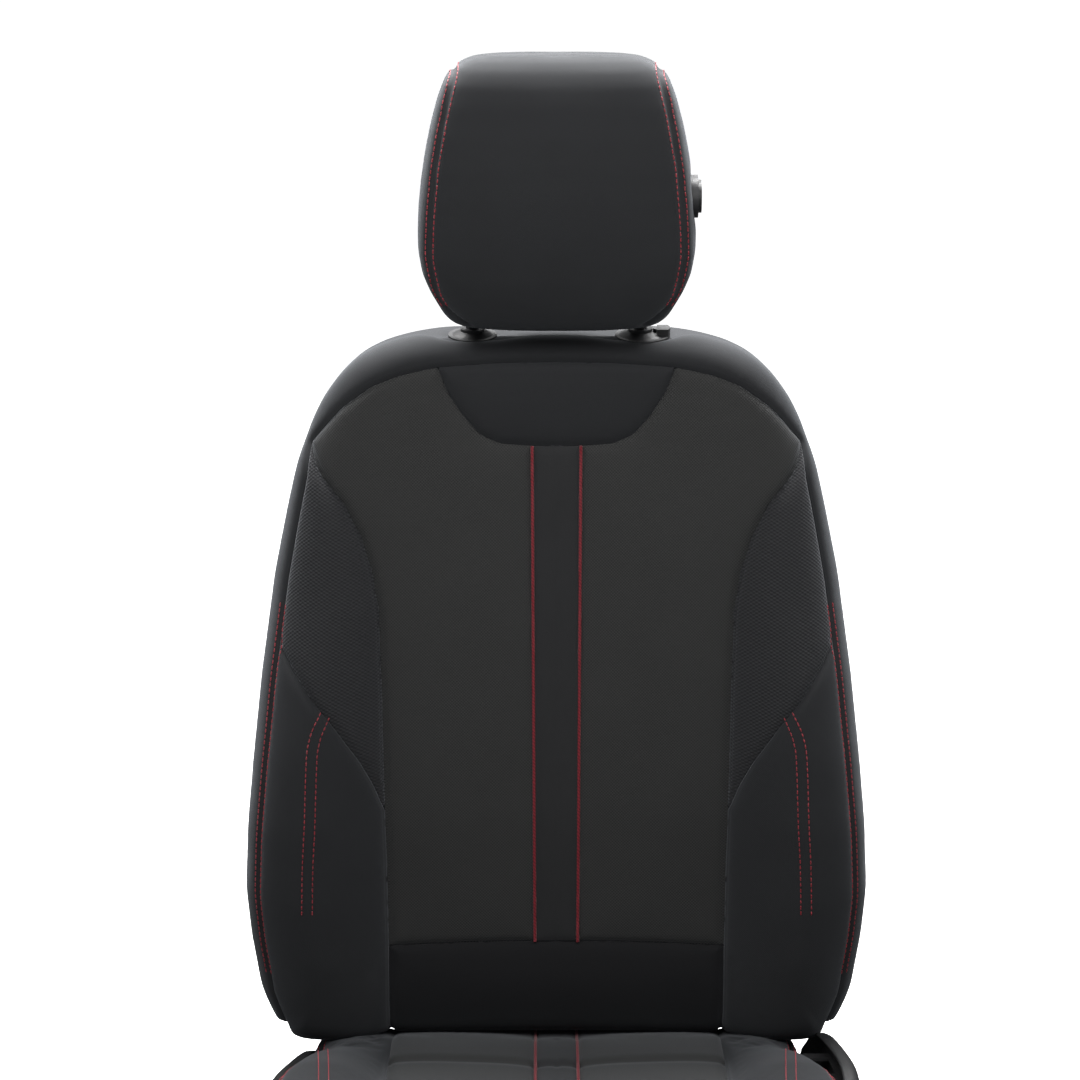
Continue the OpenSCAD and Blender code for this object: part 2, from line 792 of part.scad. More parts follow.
module sleeve(flange_r, flange_shift) {
    difference() {
        union() {
            translate([0, 0, -120]) cylinder(r = sleeve_r, h = 121);
            translate([flange_shift, 0, 0]) cylinder(r = flange_r, h = 3);
            translate([flange_shift / 2, 0, 2.5]) cylinder(r1 = flange_r - 3, r2 = 12, h = 4);
            cylinder(r = 11, h = 9);
        }
        translate([0, 0, -121]) cylinder(r = sleeve_bore, h = 132);
        children();
    }
}

module headrest_sleeve_plain() {
    color(PLASTIC) on_headrest() translate([-post_spacing / 2, 0, 0]) sleeve(22, 0);
}

button_half = 8;              // half width of the sleeve's push button

// The sleeve with the lock has a pocket in its collar for the push button.
module headrest_sleeve_locking() {
    color(PLASTIC) on_headrest() translate([post_spacing / 2, 0, 0])
        sleeve(25, 2) translate([11.5, -button_half - 0.3, 2]) cube([20, 2 * button_half + 0.6, 12]);
}

module sleeve_button() {
    color(PLASTIC) on_headrest() translate([post_spacing / 2 + 15, -button_half, 2.4])
        intersection() {
            cube([13, 2 * button_half, 7]);
            translate([-3, button_half, 0]) cylinder(r = 15, h = 7);
        }
}

module headrest_post(side) {
    color(ZINC) on_headrest() translate([side * post_spacing / 2, 0, 0]) {
        translate([0, 0, -110]) cylinder(r = post_r, h = bar_height + 110);
        translate([0, 0, -110]) sphere(r = post_r);
        translate([0, 0, bar_height]) sphere(r = post_r);
    }
}

module headrest_post_left() headrest_post(-1);
module headrest_post_right() headrest_post(1);

module headrest_cross_bar() {
    half = post_spacing / 2 - post_r - 0.05;
    color(ZINC) on_headrest() rod_x(-half, half, 0, bar_height, post_r);
}

core_back = 12;
core_front = 44;
core_low = 29;
core_high = 150;
core_half = 92;

// Plastic housing inside the headrest: open below for the posts, with two journals round the cross bar.
module headrest_core() {
    wall = 2.5;
    color(PLASTIC) on_headrest() difference() {
        union() {
            difference() {
                translate([-core_half, -core_front, core_low])
                    cube([2 * core_half, core_front + core_back, core_high - core_low]);
                translate([-core_half + wall, -core_front + wall, core_low - 1])
                    cube([2 * (core_half - wall), core_front + core_back - 2 * wall, core_high - core_low - wall + 1]);
            }
            for (s = [-1, 1]) translate([s * 45 - 4, -core_front + 1, 110])
                cube([8, core_front + core_back - 2, core_high - 111]);
        }
        rod_x(-60, 60, 0, bar_height, post_r + run);
    }
}

// Height above the sleeves, half width, front and back of the headrest's pad
headrest_shape = [
    [26, 66, -62, 14], [30, 88, -72, 22], [40, 103, -80, 28], [54, 112, -85, 31], [72, 119, -88, 32],
    [95, 122, -89, 32], [120, 121.5, -88, 32], [146, 119, -86, 31], [174, 115, -82, 30], [202, 110, -75, 28],
    [226, 104, -66, 25], [244, 97, -56, 20], [256, 87, -45, 13], [263, 76, -34, 5], [266, 62, -24, -4]
];

module headrest_pad() {
    color(FABRIC) on_headrest() difference() {
        loft([for (r = headrest_shape) rounded_ring(r[1], r[2], r[3], r[0], 0.5)]);
        translate([-core_half - 0.2, -core_front - 0.2, 0])
            cube([2 * core_half + 0.4, core_front + core_back + 0.4, core_high + 0.2]);
        translate([button_x - 0.2, button_y, button_z]) rotate([0, 90, 0]) rotate([0, 0, 90])
            linear_extrude(height = 40) stadium(bezel_d + 0.4, bezel_l + 0.4);
    }
}

bezel_l = 44;
bezel_d = 36;
button_x = 110;
button_y = -28;
button_z = 139;

// A stadium disc on the headrest's side, its long side upright.
module side_disc(x0, x1, l, d) {
    translate([x0, button_y, button_z]) rotate([0, 90, 0]) rotate([0, 0, 90])
        linear_extrude(height = x1 - x0) rotate([0, 0, 90]) stadium(l, d);
}

module headrest_bezel() {
    color(PLASTIC) on_headrest() difference() {
        side_disc(button_x, 125, bezel_l, bezel_d);
        side_disc(button_x + 3, 126, bezel_l - 8, bezel_d - 8);
    }
}

module headrest_button() {
    color(PLASTIC) on_headrest() side_disc(button_x + 7, 128, bezel_l - 8.8, bezel_d - 8.8);
}

// ---- what is drawn ----

lower_rail_left();
lower_rail_right();
rail_feet();
upper_rail_left();
upper_rail_right();
rail_rollers();
rail_cross_tube();
handle_pivot_rod();
link_brackets();
link_lower_pins();
slide_handle_arms();
slide_handle_grip();
rear_links();
rear_torsion_tube();
front_links();
front_torsion_tube();
cushion_side_frame_left();
cushion_side_frame_right();
cushion_front_pan();
cushion_rear_tube();
cushion_springs();
cushion_centre_pad();
cushion_bolster_left();
cushion_bolster_right();
side_cover_outer();
side_cover_inner();
cover_screws();
window_surround();
recliner_covers();
recliner_fixed_discs();
recliner_bolts();
height_lever();
height_lever_spindle();
recline_lever();
recline_lever_spindle();
recliner_sync_rod();
recliner_release_arm();
backrest_side_frame_left();
backrest_side_frame_right();
backrest_upper_beam();
backrest_lower_beam();
backrest_springs();
recliner_moving_discs();
headrest_sockets();
backrest_centre_pad();
backrest_lumbar_roll();
backrest_bolster_left();
backrest_bolster_right();
backrest_shoulder_pad();
back_panel();
headrest_sleeve_plain();
headrest_sleeve_locking();
sleeve_button();
headrest_post_left();
headrest_post_right();
headrest_cross_bar();
headrest_core();
headrest_pad();
headrest_bezel();
headrest_button();
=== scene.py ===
# %% [markdown]
# # A sports front seat, in cloth
# This lesson dresses a seat frame: rails, links, levers and posts already exist as exact
# parts, and everything soft is made here. The cloth covers are cut as panels, the way a
# trimmer does it: a flat pattern piece, sewn to its neighbours, pulled over foam.

# %%
import math

import bpy
import numpy as np
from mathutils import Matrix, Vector, bvhtree, geometry, kdtree


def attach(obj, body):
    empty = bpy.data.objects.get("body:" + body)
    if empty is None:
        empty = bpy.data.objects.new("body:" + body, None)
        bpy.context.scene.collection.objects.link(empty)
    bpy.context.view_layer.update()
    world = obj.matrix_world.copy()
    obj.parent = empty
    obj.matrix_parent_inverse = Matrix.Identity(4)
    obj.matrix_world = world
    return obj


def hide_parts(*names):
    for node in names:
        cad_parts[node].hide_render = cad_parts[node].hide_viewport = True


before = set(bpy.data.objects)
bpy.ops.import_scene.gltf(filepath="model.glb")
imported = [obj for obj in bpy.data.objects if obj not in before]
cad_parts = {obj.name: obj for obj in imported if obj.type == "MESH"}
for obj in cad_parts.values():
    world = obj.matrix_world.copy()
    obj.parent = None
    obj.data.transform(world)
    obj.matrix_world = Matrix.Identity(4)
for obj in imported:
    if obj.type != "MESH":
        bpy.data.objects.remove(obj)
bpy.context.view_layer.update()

scene = bpy.context.scene

# %% [markdown]
# ## Camera, floor and light
# A product shot of a seat is taken from a little above, from far away, so that upright lines stay
# upright. A long lens does the same here. One soft box hangs above and behind the seat: it makes
# the shoulders and the headrest's crown pale, and the backrest keeps it off the cushion. A second
# one, near and high in front, fades down the cloth and leaves the lowest parts nearly black. Weak
# fills keep the sides and the back readable. The floor is a stage piece: it is lit to a plain pale
# tone, and it sends no light back up to the cloth.

# %%
CAMERA_PLACE, CAMERA_TILT, LENS = (-0.0149, -3.0495, 1.7674), math.radians(72.0), 125.93
SOFT_BOXES = [
    # name, watts, width and height, place, aim
    ("crown_box", 95.0, (1.8, 0.5), (0.0, 0.88, 2.0), (0.0, 0.25, 0.9)),
    ("front_box", 21.0, (1.6, 0.8), (0.0, -0.95, 1.82), (0.0, 0.1, 0.7)),
    ("right_fill", 13.0, (1.6, 1.6), (2.6, -0.1, 1.5), (0.0, 0.0, 0.5)),
    ("left_fill", 13.0, (1.6, 1.6), (-2.6, -0.1, 1.5), (0.0, 0.0, 0.5)),
    ("back_fill", 11.0, (2.4, 1.6), (0.0, 3.0, 2.2), (0.0, 0.2, 0.6)),
]


def add_camera():
    data = bpy.data.cameras.new("studio_camera")
    data.sensor_width, data.lens, data.clip_end = 36.0, LENS, 60.0
    camera = bpy.data.objects.new("studio_camera", data)
    camera.location = CAMERA_PLACE
    camera.rotation_euler = (CAMERA_TILT, 0.0, 0.0)
    scene.collection.objects.link(camera)
    scene.camera = camera


def add_soft_box(name, power, size, place, aim):
    light = bpy.data.lights.new(name, "AREA")
    light.shape, light.size, light.size_y, light.energy = "RECTANGLE", size[0], size[1], power
    lamp = bpy.data.objects.new(name, light)
    lamp.location = place
    lamp.visible_camera = False
    lamp.rotation_euler = (Vector(aim) - Vector(place)).to_track_quat("-Z", "Y").to_euler()
    scene.collection.objects.link(lamp)
    print(name, power, "W")


add_camera()
for box in SOFT_BOXES:
    add_soft_box(*box)
scene.view_settings.view_transform = "Standard"

# %% [markdown]
# ## A short way to write materials
# A material is a small graph of nodes. `Graph` adds a node, sets its inputs and returns its
# output in one line, so that each finish below reads like a recipe. Fixed numbers are set
# straight on the shader's own sockets.

# %%
class Graph:
    """A node graph being written: add() makes one node and wires its inputs."""

    def __init__(self, tree):
        self.tree = tree
        tree.nodes.clear()

    def add(self, kind, settings=None, out=0, **inputs):
        made = self.tree.nodes.new(kind)
        for key, value in (settings or {}).items():
            setattr(made, key, value)
        for key, value in inputs.items():
            by_number = key[0] == "i" and key[1:].isdigit()
            socket = made.inputs[int(key[1:]) if by_number else key.replace("_", " ")]
            if isinstance(value, bpy.types.NodeSocket):
                self.tree.links.new(value, socket)
            else:
                socket.default_value = value
        return made.outputs[out]

    def math(self, operation, a, b=0.0, c=0.0):
        return self.add("ShaderNodeMath", {"operation": operation}, i0=a, i1=b, i2=c)

    def noise(self, where, scale, detail=3.0, rough=0.5, out=0):
        return self.add("ShaderNodeTexNoise", None, out, Vector=where, Scale=scale, Detail=detail,
                        Roughness=rough)

    def object_place(self):
        return self.add("ShaderNodeTexCoord", None, 3)

    def ramp(self, value, stops):
        made = self.tree.nodes.new("ShaderNodeValToRGB")
        band = made.color_ramp
        while len(band.elements) < len(stops):
            band.elements.new(0.5)
        for element, (at, color) in zip(band.elements, stops):
            element.position, element.color = at, tuple(color) + (1.0,)
        self.tree.links.new(value, made.inputs[0])
        return made.outputs[0]

    def mix(self, factor, a, b):
        made = self.tree.nodes.new("ShaderNodeMix")
        made.data_type = "RGBA"
        for index, value in ((0, factor), (6, a), (7, b)):
            if isinstance(value, bpy.types.NodeSocket):
                self.tree.links.new(value, made.inputs[index])
            else:
                made.inputs[index].default_value = value if index == 0 else tuple(value) + (1.0,)
        return made.outputs[2]

    def bump(self, height, strength, distance):
        return self.add("ShaderNodeBump", None, Strength=strength, Distance=distance, Height=height)


def new_material(name, recipe, **shader):
    """A material: recipe(graph) returns what feeds the main shader, the rest are its fixed sockets."""
    material = bpy.data.materials.new(name)
    material.use_nodes = True
    graph = Graph(material.node_tree)
    main = graph.tree.nodes.new("ShaderNodeBsdfPrincipled")
    for key, value in shader.items():
        main.inputs[key.replace("_", " ")].default_value = value
    for key, value in recipe(graph).items():
        graph.tree.links.new(value, main.inputs[key])
    output = graph.tree.nodes.new("ShaderNodeOutputMaterial")
    graph.tree.links.new(main.outputs[0], output.inputs[0])
    print("material", name)
    return material


# %%
FLOOR_HALF, FLOOR_Z = 14.0, -0.002


def grey(value, blue=0.0):
    """A neutral tone, with a little more or less blue."""
    return (value, value, value + blue)


def floor_recipe(graph):
    cloud = graph.noise(graph.object_place(), 1.5)
    return {"Base Color": graph.ramp(cloud, [(0.3, grey(0.86)), (0.7, grey(0.9))])}


def add_floor():
    mesh = bpy.data.meshes.new("studio_floor")
    corners = [(x * FLOOR_HALF, y * FLOOR_HALF, FLOOR_Z) for x, y in ((-1, -1), (1, -1), (1, 1), (-1, 1))]
    mesh.from_pydata(corners, [], [(0, 1, 2, 3)])
    floor = bpy.data.objects.new("studio_floor", mesh)
    mesh.materials.append(new_material("studio_paint", floor_recipe, Roughness=0.9,
                                       Emission_Color=(1.0, 1.0, 1.0, 1.0), Emission_Strength=0.98))
    floor.visible_diffuse = floor.visible_glossy = False
    scene.collection.objects.link(floor)


def set_world():
    world = bpy.data.worlds.new("studio_air")
    scene.world = world
    world.use_nodes = True
    graph = Graph(world.node_tree)
    seen = graph.add("ShaderNodeLightPath", None, 0)
    dim = graph.add("ShaderNodeBackground", None, 0, Color=(0.9, 0.95, 1.0, 1.0), Strength=0.09)
    pale = graph.add("ShaderNodeBackground", None, 0, Color=(1.0, 1.0, 1.0, 1.0), Strength=1.0)
    both = graph.add("ShaderNodeMixShader", None, 0, i0=seen, i1=dim, i2=pale)
    output = graph.tree.nodes.new("ShaderNodeOutputWorld")
    graph.tree.links.new(both, output.inputs[0])


add_floor()
set_world()

# %% [markdown]
# ## The cloths
# The seat wears four cloths. The middle is a woven cloth with a fine raised diamond. The upper
# bolsters are a close knit with small loops in staggered rows. The shoulders, lower bolsters and
# headrest are a smooth brushed cloth. The channel between the two red cords is the same cloth in a
# greyer dye. The roll, the thigh bolsters and the cushion's border wear a deeper one: partly a darker
# dye and partly painted shade for these low, downward-facing parts. All patterns read the panel's
# own UV map, which holds the flat pattern piece in metres: the weave then runs true over every
# curve, as real cloth does.

# %%
TWILL_TURN, TWILL_PITCH = 33.0, 0.0011      # degrees, metres
CLOTH = dict(Sheen_Weight=0.22, Sheen_Roughness=0.45, Specular_IOR_Level=0.25,
             Sheen_Tint=(0.82, 0.86, 0.92, 1.0))


def pattern_place(graph, turn=0.0):
    """The panel's flat pattern, in metres, turned by the given degrees."""
    flat = graph.add("ShaderNodeUVMap", {"uv_map": "flat"})
    rotation = (0.0, 0.0, math.radians(turn))
    turned = graph.add("ShaderNodeMapping", None, 0, Vector=flat, Rotation=rotation)
    split = graph.tree.nodes.new("ShaderNodeSeparateXYZ")
    graph.tree.links.new(turned, split.inputs[0])
    return turned, split.outputs[0], split.outputs[1]


def waves(graph, across, along, pitch_x, pitch_y):
    """Threads that cross: two rows of humps, one for each direction, from -1 to 1."""
    a = graph.math("SINE", graph.math("MULTIPLY", across, 2.0 * math.pi / pitch_x))
    b = graph.math("SINE", graph.math("MULTIPLY", along, 2.0 * math.pi / pitch_y))
    return graph.math("MULTIPLY", a, b)


def cloth_recipe(dark, light, pitch, depth, wear):
    """A cloth with raised humps: dark in the gaps, lighter on the threads, and a little uneven."""
    def recipe(graph):
        where, across, along = pattern_place(graph)
        humps = waves(graph, across, along, pitch[0], pitch[1])
        fuzz = graph.noise(where, 1400.0, 2.0, 0.6)
        thread = graph.math("MULTIPLY_ADD", humps, 0.5, 0.5)
        shade = graph.math("ADD", thread, graph.math("MULTIPLY_ADD", fuzz, 0.7, -0.35))
        patch = graph.noise(where, 9.0, 4.0, 0.6)
        color = graph.ramp(shade, [(0.12, dark), (0.88, light)])
        faded = graph.mix(graph.math("MULTIPLY", patch, 0.22), color, tuple(v * 2.1 for v in light))
        height = graph.math("MULTIPLY_ADD", fuzz, 0.35, thread)
        bump = graph.bump(height, wear, depth)
        rough = graph.math("MULTIPLY_ADD", patch, 0.14, 0.72)
        return {"Base Color": faded, "Normal": bump, "Roughness": rough}
    return recipe


def smooth_cloth_recipe(dark, light):
    """A brushed cloth: a very fine twill line under a short nap, with soft darker areas."""
    def recipe(graph):
        where, across, _ = pattern_place(graph, TWILL_TURN)
        twill = graph.math("SINE", graph.math("MULTIPLY", across, 2.0 * math.pi / TWILL_PITCH))
        nap = graph.noise(where, 1900.0, 2.0, 0.65)
        cloud = graph.noise(where, 14.0, 4.0, 0.55)
        shade = graph.math("ADD", graph.math("MULTIPLY", twill, 0.16), nap)
        color = graph.ramp(shade, [(0.25, dark), (0.8, light)])
        faded = graph.mix(graph.math("MULTIPLY", cloud, 0.25), color, tuple(v * 1.9 for v in light))
        bump = graph.bump(graph.math("MULTIPLY_ADD", twill, 0.2, nap), 0.35, 0.0003)
        rough = graph.math("MULTIPLY_ADD", cloud, 0.12, 0.78)
        return {"Base Color": faded, "Normal": bump, "Roughness": rough}
    return recipe


def new_cloth(name, recipe):
    return new_material(name, recipe, **CLOTH)


diamond_weave = new_cloth("diamond_weave",
                          cloth_recipe(grey(0.015), grey(0.040, -0.001), (0.0028, 0.0028), 0.0005, 0.5))
loop_knit = new_cloth("loop_knit", cloth_recipe(grey(0.010, 0.001), grey(0.029, 0.002), (0.0050, 0.0032), 0.0007, 0.7))
brushed_cloth = new_cloth("brushed_cloth", smooth_cloth_recipe(grey(0.010, 0.001), (0.024, 0.025, 0.027)))
# The deep cloth for the roll, the thigh bolsters and the cushion's border: its dark tone is partly a darker dye and
# partly painted shade for these low, downward-facing parts.
deep_dye_and_shade_cloth = new_cloth("deep_dye_and_shade_cloth", smooth_cloth_recipe(grey(0.004, 0.001), grey(0.010, 0.001)))
channel_cloth = new_cloth("channel_cloth", smooth_cloth_recipe(grey(0.014, 0.001), grey(0.030, 0.001)))


def thread_recipe(dark, light, pitch):
    """Twisted yarn: a slanting wave along the thread, in a slightly uneven dye."""
    def recipe(graph):
        where = graph.object_place()
        twist = graph.add("ShaderNodeTexWave", {"wave_type": "BANDS", "bands_direction": "DIAGONAL"}, 1,
                          Vector=where, Scale=1.0 / pitch, Distortion=1.5)
        dye = graph.noise(where, 220.0)
        color = graph.mix(twist, dark, light)
        uneven = graph.mix(graph.math("MULTIPLY", dye, 0.35), color, dark)
        return {"Base Color": uneven, "Normal": graph.bump(twist, 0.5, 0.0002)}
    return recipe


red_thread = new_material("red_thread", thread_recipe((0.20, 0.004, 0.012), (0.50, 0.018, 0.035), 0.004),
                          Roughness=0.5, Sheen_Weight=0.2)
red_cord = new_material("red_cord", thread_recipe((0.13, 0.004, 0.010), (0.30, 0.012, 0.024), 0.006),
                        Roughness=0.6, Sheen_Weight=0.2)

# %% [markdown]
# ## A padded form
# Under the cloth lies a foam body. Seen from the front it has an outline; over that outline it
# has a height; and at its edges the surface rolls over and runs back as a wall. `Form` holds
# those three facts. Its plan is flat, as a cloth pattern is: a point a little outside the
# outline is a point on the rolled edge or on the wall. A panel drawn on that plan can wrap
# the edge without any stretch, and its UV map is simply the plan.

# %%
MM = 0.001


def table(rows, reach=22):
    """A smooth curve through the rows (place, value), read by place."""
    places, values = np.array(rows, float).T
    fine = np.arange(places[0], places[-1] + 0.5, 1.0)
    line = np.interp(fine, places, values)
    padded = np.concatenate([2 * line[0] - line[reach:0:-1], line, 2 * line[-1] - line[-2:-reach - 2:-1]])
    window = np.hanning(2 * reach + 1)
    line = np.convolve(padded, window / window.sum(), "valid")
    return lambda place: np.interp(place, fine, line)


def resample(points, step, closed=True):
    """The same line with evenly spaced points."""
    points = np.asarray(points, float)
    if closed:
        points = np.vstack([points, points[:1]])
    lengths = np.concatenate([[0.0], np.cumsum(np.hypot(*np.diff(points, axis=0).T[:2]) if points.shape[1] == 2
                                               else np.linalg.norm(np.diff(points, axis=0), axis=1))])
    count = max(8, int(round(lengths[-1] / step)))
    at = np.linspace(0.0, lengths[-1], count + 1)
    even = np.column_stack([np.interp(at, lengths, points[:, k]) for k in range(points.shape[1])])
    return even[:-1] if closed else even


def nearest_on(line, points, closed=True):
    """For each point: the place on the line (a fractional index), the foot, and the distance."""
    count = len(line) if closed else len(line) - 1
    best = np.empty(len(points), int)
    for k in range(0, len(points), 3000):
        gap = ((points[k:k + 3000, None, :] - line[None]) ** 2).sum(2)
        best[k:k + 3000] = gap.argmin(1)
    result = None
    for back in (0, 1):
        start = (best - back) % len(line) if closed else np.clip(best - back, 0, count - 1)
        a, b = line[start], line[(start + 1) % len(line)]
        along = b - a
        share = np.clip(((points - a) * along).sum(1) / np.maximum((along ** 2).sum(1), 1e-12), 0.0, 1.0)
        foot = a + along * share[:, None]
        gap = np.linalg.norm(points - foot, axis=1)
        if result is None:
            result = [start + share, foot, gap]
        else:
            closer = gap < result[2]
            result = [np.where(closer, start + share, result[0]), np.where(closer[:, None], foot, result[1]),
                      np.where(closer, gap, result[2])]
    return result


def inside(loop, points):
    """Which points lie inside a closed loop, by counting crossings."""
    a, b = loop, np.roll(loop, -1, axis=0)
    found = np.zeros(len(points), bool)
    for k in range(0, len(points), 3000):
        x, y = points[k:k + 3000, 0:1], points[k:k + 3000, 1:2]
        crosses = (a[:, 1] > y) != (b[:, 1] > y)
        with np.errstate(divide="ignore", invalid="ignore"):
            at = (b[:, 0] - a[:, 0]) * (y - a[:, 1]) / (b[:, 1] - a[:, 1]) + a[:, 0]
        found[k:k + 3000] = (crosses & (x < at)).sum(1) % 2 == 1
    return found


class Form:
    """A padded body: plan outline (anticlockwise, mm), roll radius, height over the plan, and its place."""

    def __init__(self, outline, roll, height, place, taper=0.06):
        line = resample(outline, 2.0)
        for _ in range(24):
            line = (np.roll(line, 1, axis=0) + 2 * line + np.roll(line, -1, axis=0)) / 4
        self.line = resample(line, 2.0)
        self.step = float(np.linalg.norm(np.diff(self.line, axis=0), axis=1).mean())
        ahead = np.roll(self.line, -1, axis=0) - np.roll(self.line, 1, axis=0)
        normal = np.column_stack([-ahead[:, 1], ahead[:, 0]])
        for _ in range(12):
            normal = (np.roll(normal, 1, axis=0) + 2 * normal + np.roll(normal, -1, axis=0)) / 4
        self.normal = normal / np.linalg.norm(normal, axis=1)[:, None]
        after = np.roll(self.normal, -1, axis=0)
        self.bend = (self.normal[:, 0] * after[:, 1] - self.normal[:, 1] * after[:, 0]) / self.step
        radius = roll(self.line[:, 0], self.line[:, 1])
        for _ in range(60):
            radius = (np.roll(radius, 1) + 2 * radius + np.roll(radius, -1)) / 4
        self.radius, self.height, self.place, self.taper = radius, height, place, taper

    def at(self, where):
        """Outline point, inward direction and roll radius at a fractional index."""
        low = np.floor(where).astype(int) % len(self.line)
        high, share = (low + 1) % len(self.line), (where - np.floor(where))
        blend = lambda v: v[low] * (1 - share[:, None]) + v[high] * share[:, None]
        normal = blend(self.normal)
        return blend(self.line), normal / np.linalg.norm(normal, axis=1)[:, None], blend(self.radius[:, None])[:, 0]

    def depth_in(self, plan):
        """Signed distance inside the outline, with the place on it."""
        where, foot, gap = nearest_on(self.line, plan)
        first = where.copy()
        for _ in range(6):
            spot, normal, radius = self.at(where)
            away = plan - spot
            along = away[:, 0] * normal[:, 1] - away[:, 1] * normal[:, 0]
            bend = self.bend[np.floor(where).astype(int) % len(self.line)]
            stretch = np.clip(1.0 - (away * normal).sum(1) * bend, 0.4, 6.0)
            where = np.clip(where + along / (self.step * stretch), first - 3.0, first + 3.0)
        spot, normal, radius = self.at(where)
        return where, ((plan - spot) * normal).sum(1), spot, normal, radius

    def shape(self, plan):
        """Flat plan points to (x, s, depth) in millimetres."""
        where, a, spot, normal, radius = self.depth_in(plan)
        turn = np.clip((radius - a) / radius, 0.0, math.pi / 2)
        wall = np.maximum(-(math.pi / 2 - 1) * radius - a, 0.0)
        reach = radius * (1 - np.sin(turn)) + self.taper * wall
        flat = np.where((a >= radius)[:, None], plan, spot + normal * reach[:, None])
        top = self.height(flat[:, 0], flat[:, 1])
        return np.column_stack([flat, top - radius * (1 - np.cos(turn)) - wall])

    def world(self, plan):
        return self.place(*self.shape(plan).T) * MM

    def surface(self, plan):
        """World places and outward directions of flat plan points."""
        e = 0.4
        here = self.world(plan)
        right = self.world(plan + [e, 0.0]) - self.world(plan - [e, 0.0])
        up = self.world(plan + [0.0, e]) - self.world(plan - [0.0, e])
        out = np.cross(right, up)
        return here, out / np.maximum(np.linalg.norm(out, axis=1), 1e-12)[:, None]

    def flat(self, seen):
        """A point seen from the front, on the plan: points near the edge move out by the length of the roll."""
        seen = np.asarray(seen, float)
        where, a, spot, normal, radius = self.depth_in(seen)
        rolled = radius - radius * np.arcsin(np.clip((radius - a) / radius, 0.0, 1.0))
        return np.where((a >= radius)[:, None], seen, spot + normal * rolled[:, None])

    def edge(self, start, end, a):
        """The line that runs beside the outline from one fractional share of it to another, a mm inside it."""
        count = max(2, int(abs(end - start) * len(self.line)))
        where = (np.linspace(start, end, count) * len(self.line)) % len(self.line)
        spot, normal, radius = self.at(where)
        offset = a(where / len(self.line), spot, radius) if callable(a) else a
        return spot + normal * (offset[:, None] if np.ndim(offset) else offset)

    def share_near(self, point):
        """How far round the outline a point lies, from 0 to 1."""
        return float(nearest_on(self.line, np.array([point], float))[0][0]) / len(self.line)

    def wall_end(self, rear):
        """The offset at which a wall reaches the given depth."""
        def offset(share, spot, radius):
            top = self.height(spot[:, 0], spot[:, 1])
            return -(math.pi / 2 - 1) * radius - np.maximum(top - radius - rear, 2.0)
        return offset


# %% [markdown]
# ## Cutting and sewing a panel
# A panel is a closed loop on the plan. It is filled with small triangles, with extra rows
# close to its edge, where the cloth dips into the seam. Each panel has thickness: the wadding
# sewn behind it. Real covers swell between their seams because foam pushes from behind. That
# swelling could be painted by hand, but a cloth simulation finds it: a coarse copy of the
# panel is pinned along its seams and blown up a little, and its movement, capped to a few
# millimetres, is carried over to the fine panel.

# %%
BLOW_FRAMES = 20
COARSE_STEP, WADDING = 11.0, 5.0            # mm: the trial's triangles, the cloth with its backing
SEAM_ROWS = [1.3, 3.0, 5.2]                 # mm from a seam: the extra rows of points
PUFF_REACH, GROOVE_WIDTH, SEAM_HOLD = 16.0, 3.2, 8.0


def fill(loop, step, rows):
    """Triangles that fill a loop: points on its edge, rows just inside it, and an even grid."""
    rim = resample(loop, step * 0.8)
    area = 0.5 * (rim[:, 0] * np.roll(rim[:, 1], -1) - np.roll(rim[:, 0], -1) * rim[:, 1]).sum()
    rim = rim if area > 0 else rim[::-1]
    ahead = np.roll(rim, -1, axis=0) - np.roll(rim, 1, axis=0)
    inward = np.column_stack([-ahead[:, 1], ahead[:, 0]]) / np.maximum(np.hypot(*ahead.T), 1e-9)[:, None]
    extra = [rim + inward * row for row in rows]
    low, high = rim.min(0), rim.max(0)
    across, down = np.meshgrid(np.arange(low[0], high[0], step), np.arange(low[1], high[1], step * 0.866))
    across[1::2] += step / 2
    grid = np.column_stack([across.ravel(), down.ravel()])
    last = rows[-1] if rows else 0.0
    points = [rim]
    for limit, group in zip([row * 0.9 for row in rows] + [last + step * 0.6], extra + [grid]):
        group = group[inside(rim, group)]
        points.append(group[nearest_on(rim, group)[2] > limit])
    points = np.vstack(points)
    edges = [(k, (k + 1) % len(rim)) for k in range(len(rim))]
    made = geometry.delaunay_2d_cdt([Vector(p) for p in points], edges, [], 1, 1e-4, False)
    flat = np.array([tuple(v) for v in made[0]])
    faces = np.array([tuple(f) for f in made[2] if len(f) == 3])
    turn = np.cross(flat[faces[:, 1]] - flat[faces[:, 0]], flat[faces[:, 2]] - flat[faces[:, 0]])
    real = (np.abs(turn) > 1e-6) & inside(rim, flat[faces].mean(1))
    faces, turn = faces[real], turn[real]
    faces[turn < 0] = faces[turn < 0][:, ::-1]
    return flat, faces, rim


def close_shell(outer, inner, faces):
    """Outer faces, the inner layer turned round, and a wall along the open edge between them."""
    count = len(outer)
    seen = {}
    for a, b, c in faces.tolist():
        for edge in ((a, b), (b, c), (c, a)):
            seen[edge] = True
    wall = [(b, a, a + count, b + count) for a, b in seen if (b, a) not in seen]
    every = faces.tolist() + [(c + count, b + count, a + count) for a, b, c in faces.tolist()] + wall
    return np.vstack([outer, inner]), every


def new_piece(name, places, faces, material, flat=None):
    """A mesh object at the origin, smooth, with the flat pattern as its UV map."""
    mesh = bpy.data.meshes.new(name)
    mesh.from_pydata([tuple(p) for p in places], [], [tuple(f) for f in faces])
    mesh.polygons.foreach_set("use_smooth", [True] * len(mesh.polygons))
    if flat is not None:
        corners = np.empty(len(mesh.loops), int)
        mesh.loops.foreach_get("vertex_index", corners)
        both = np.vstack([flat, flat]) if len(places) == 2 * len(flat) else flat
        mesh.uv_layers.new(name="flat").data.foreach_set("uv", (both[corners] * MM).astype(np.float32).ravel())
    mesh.materials.append(material)
    mesh.update()
    made = bpy.data.objects.new(name, mesh)
    scene.collection.objects.link(made)
    return made


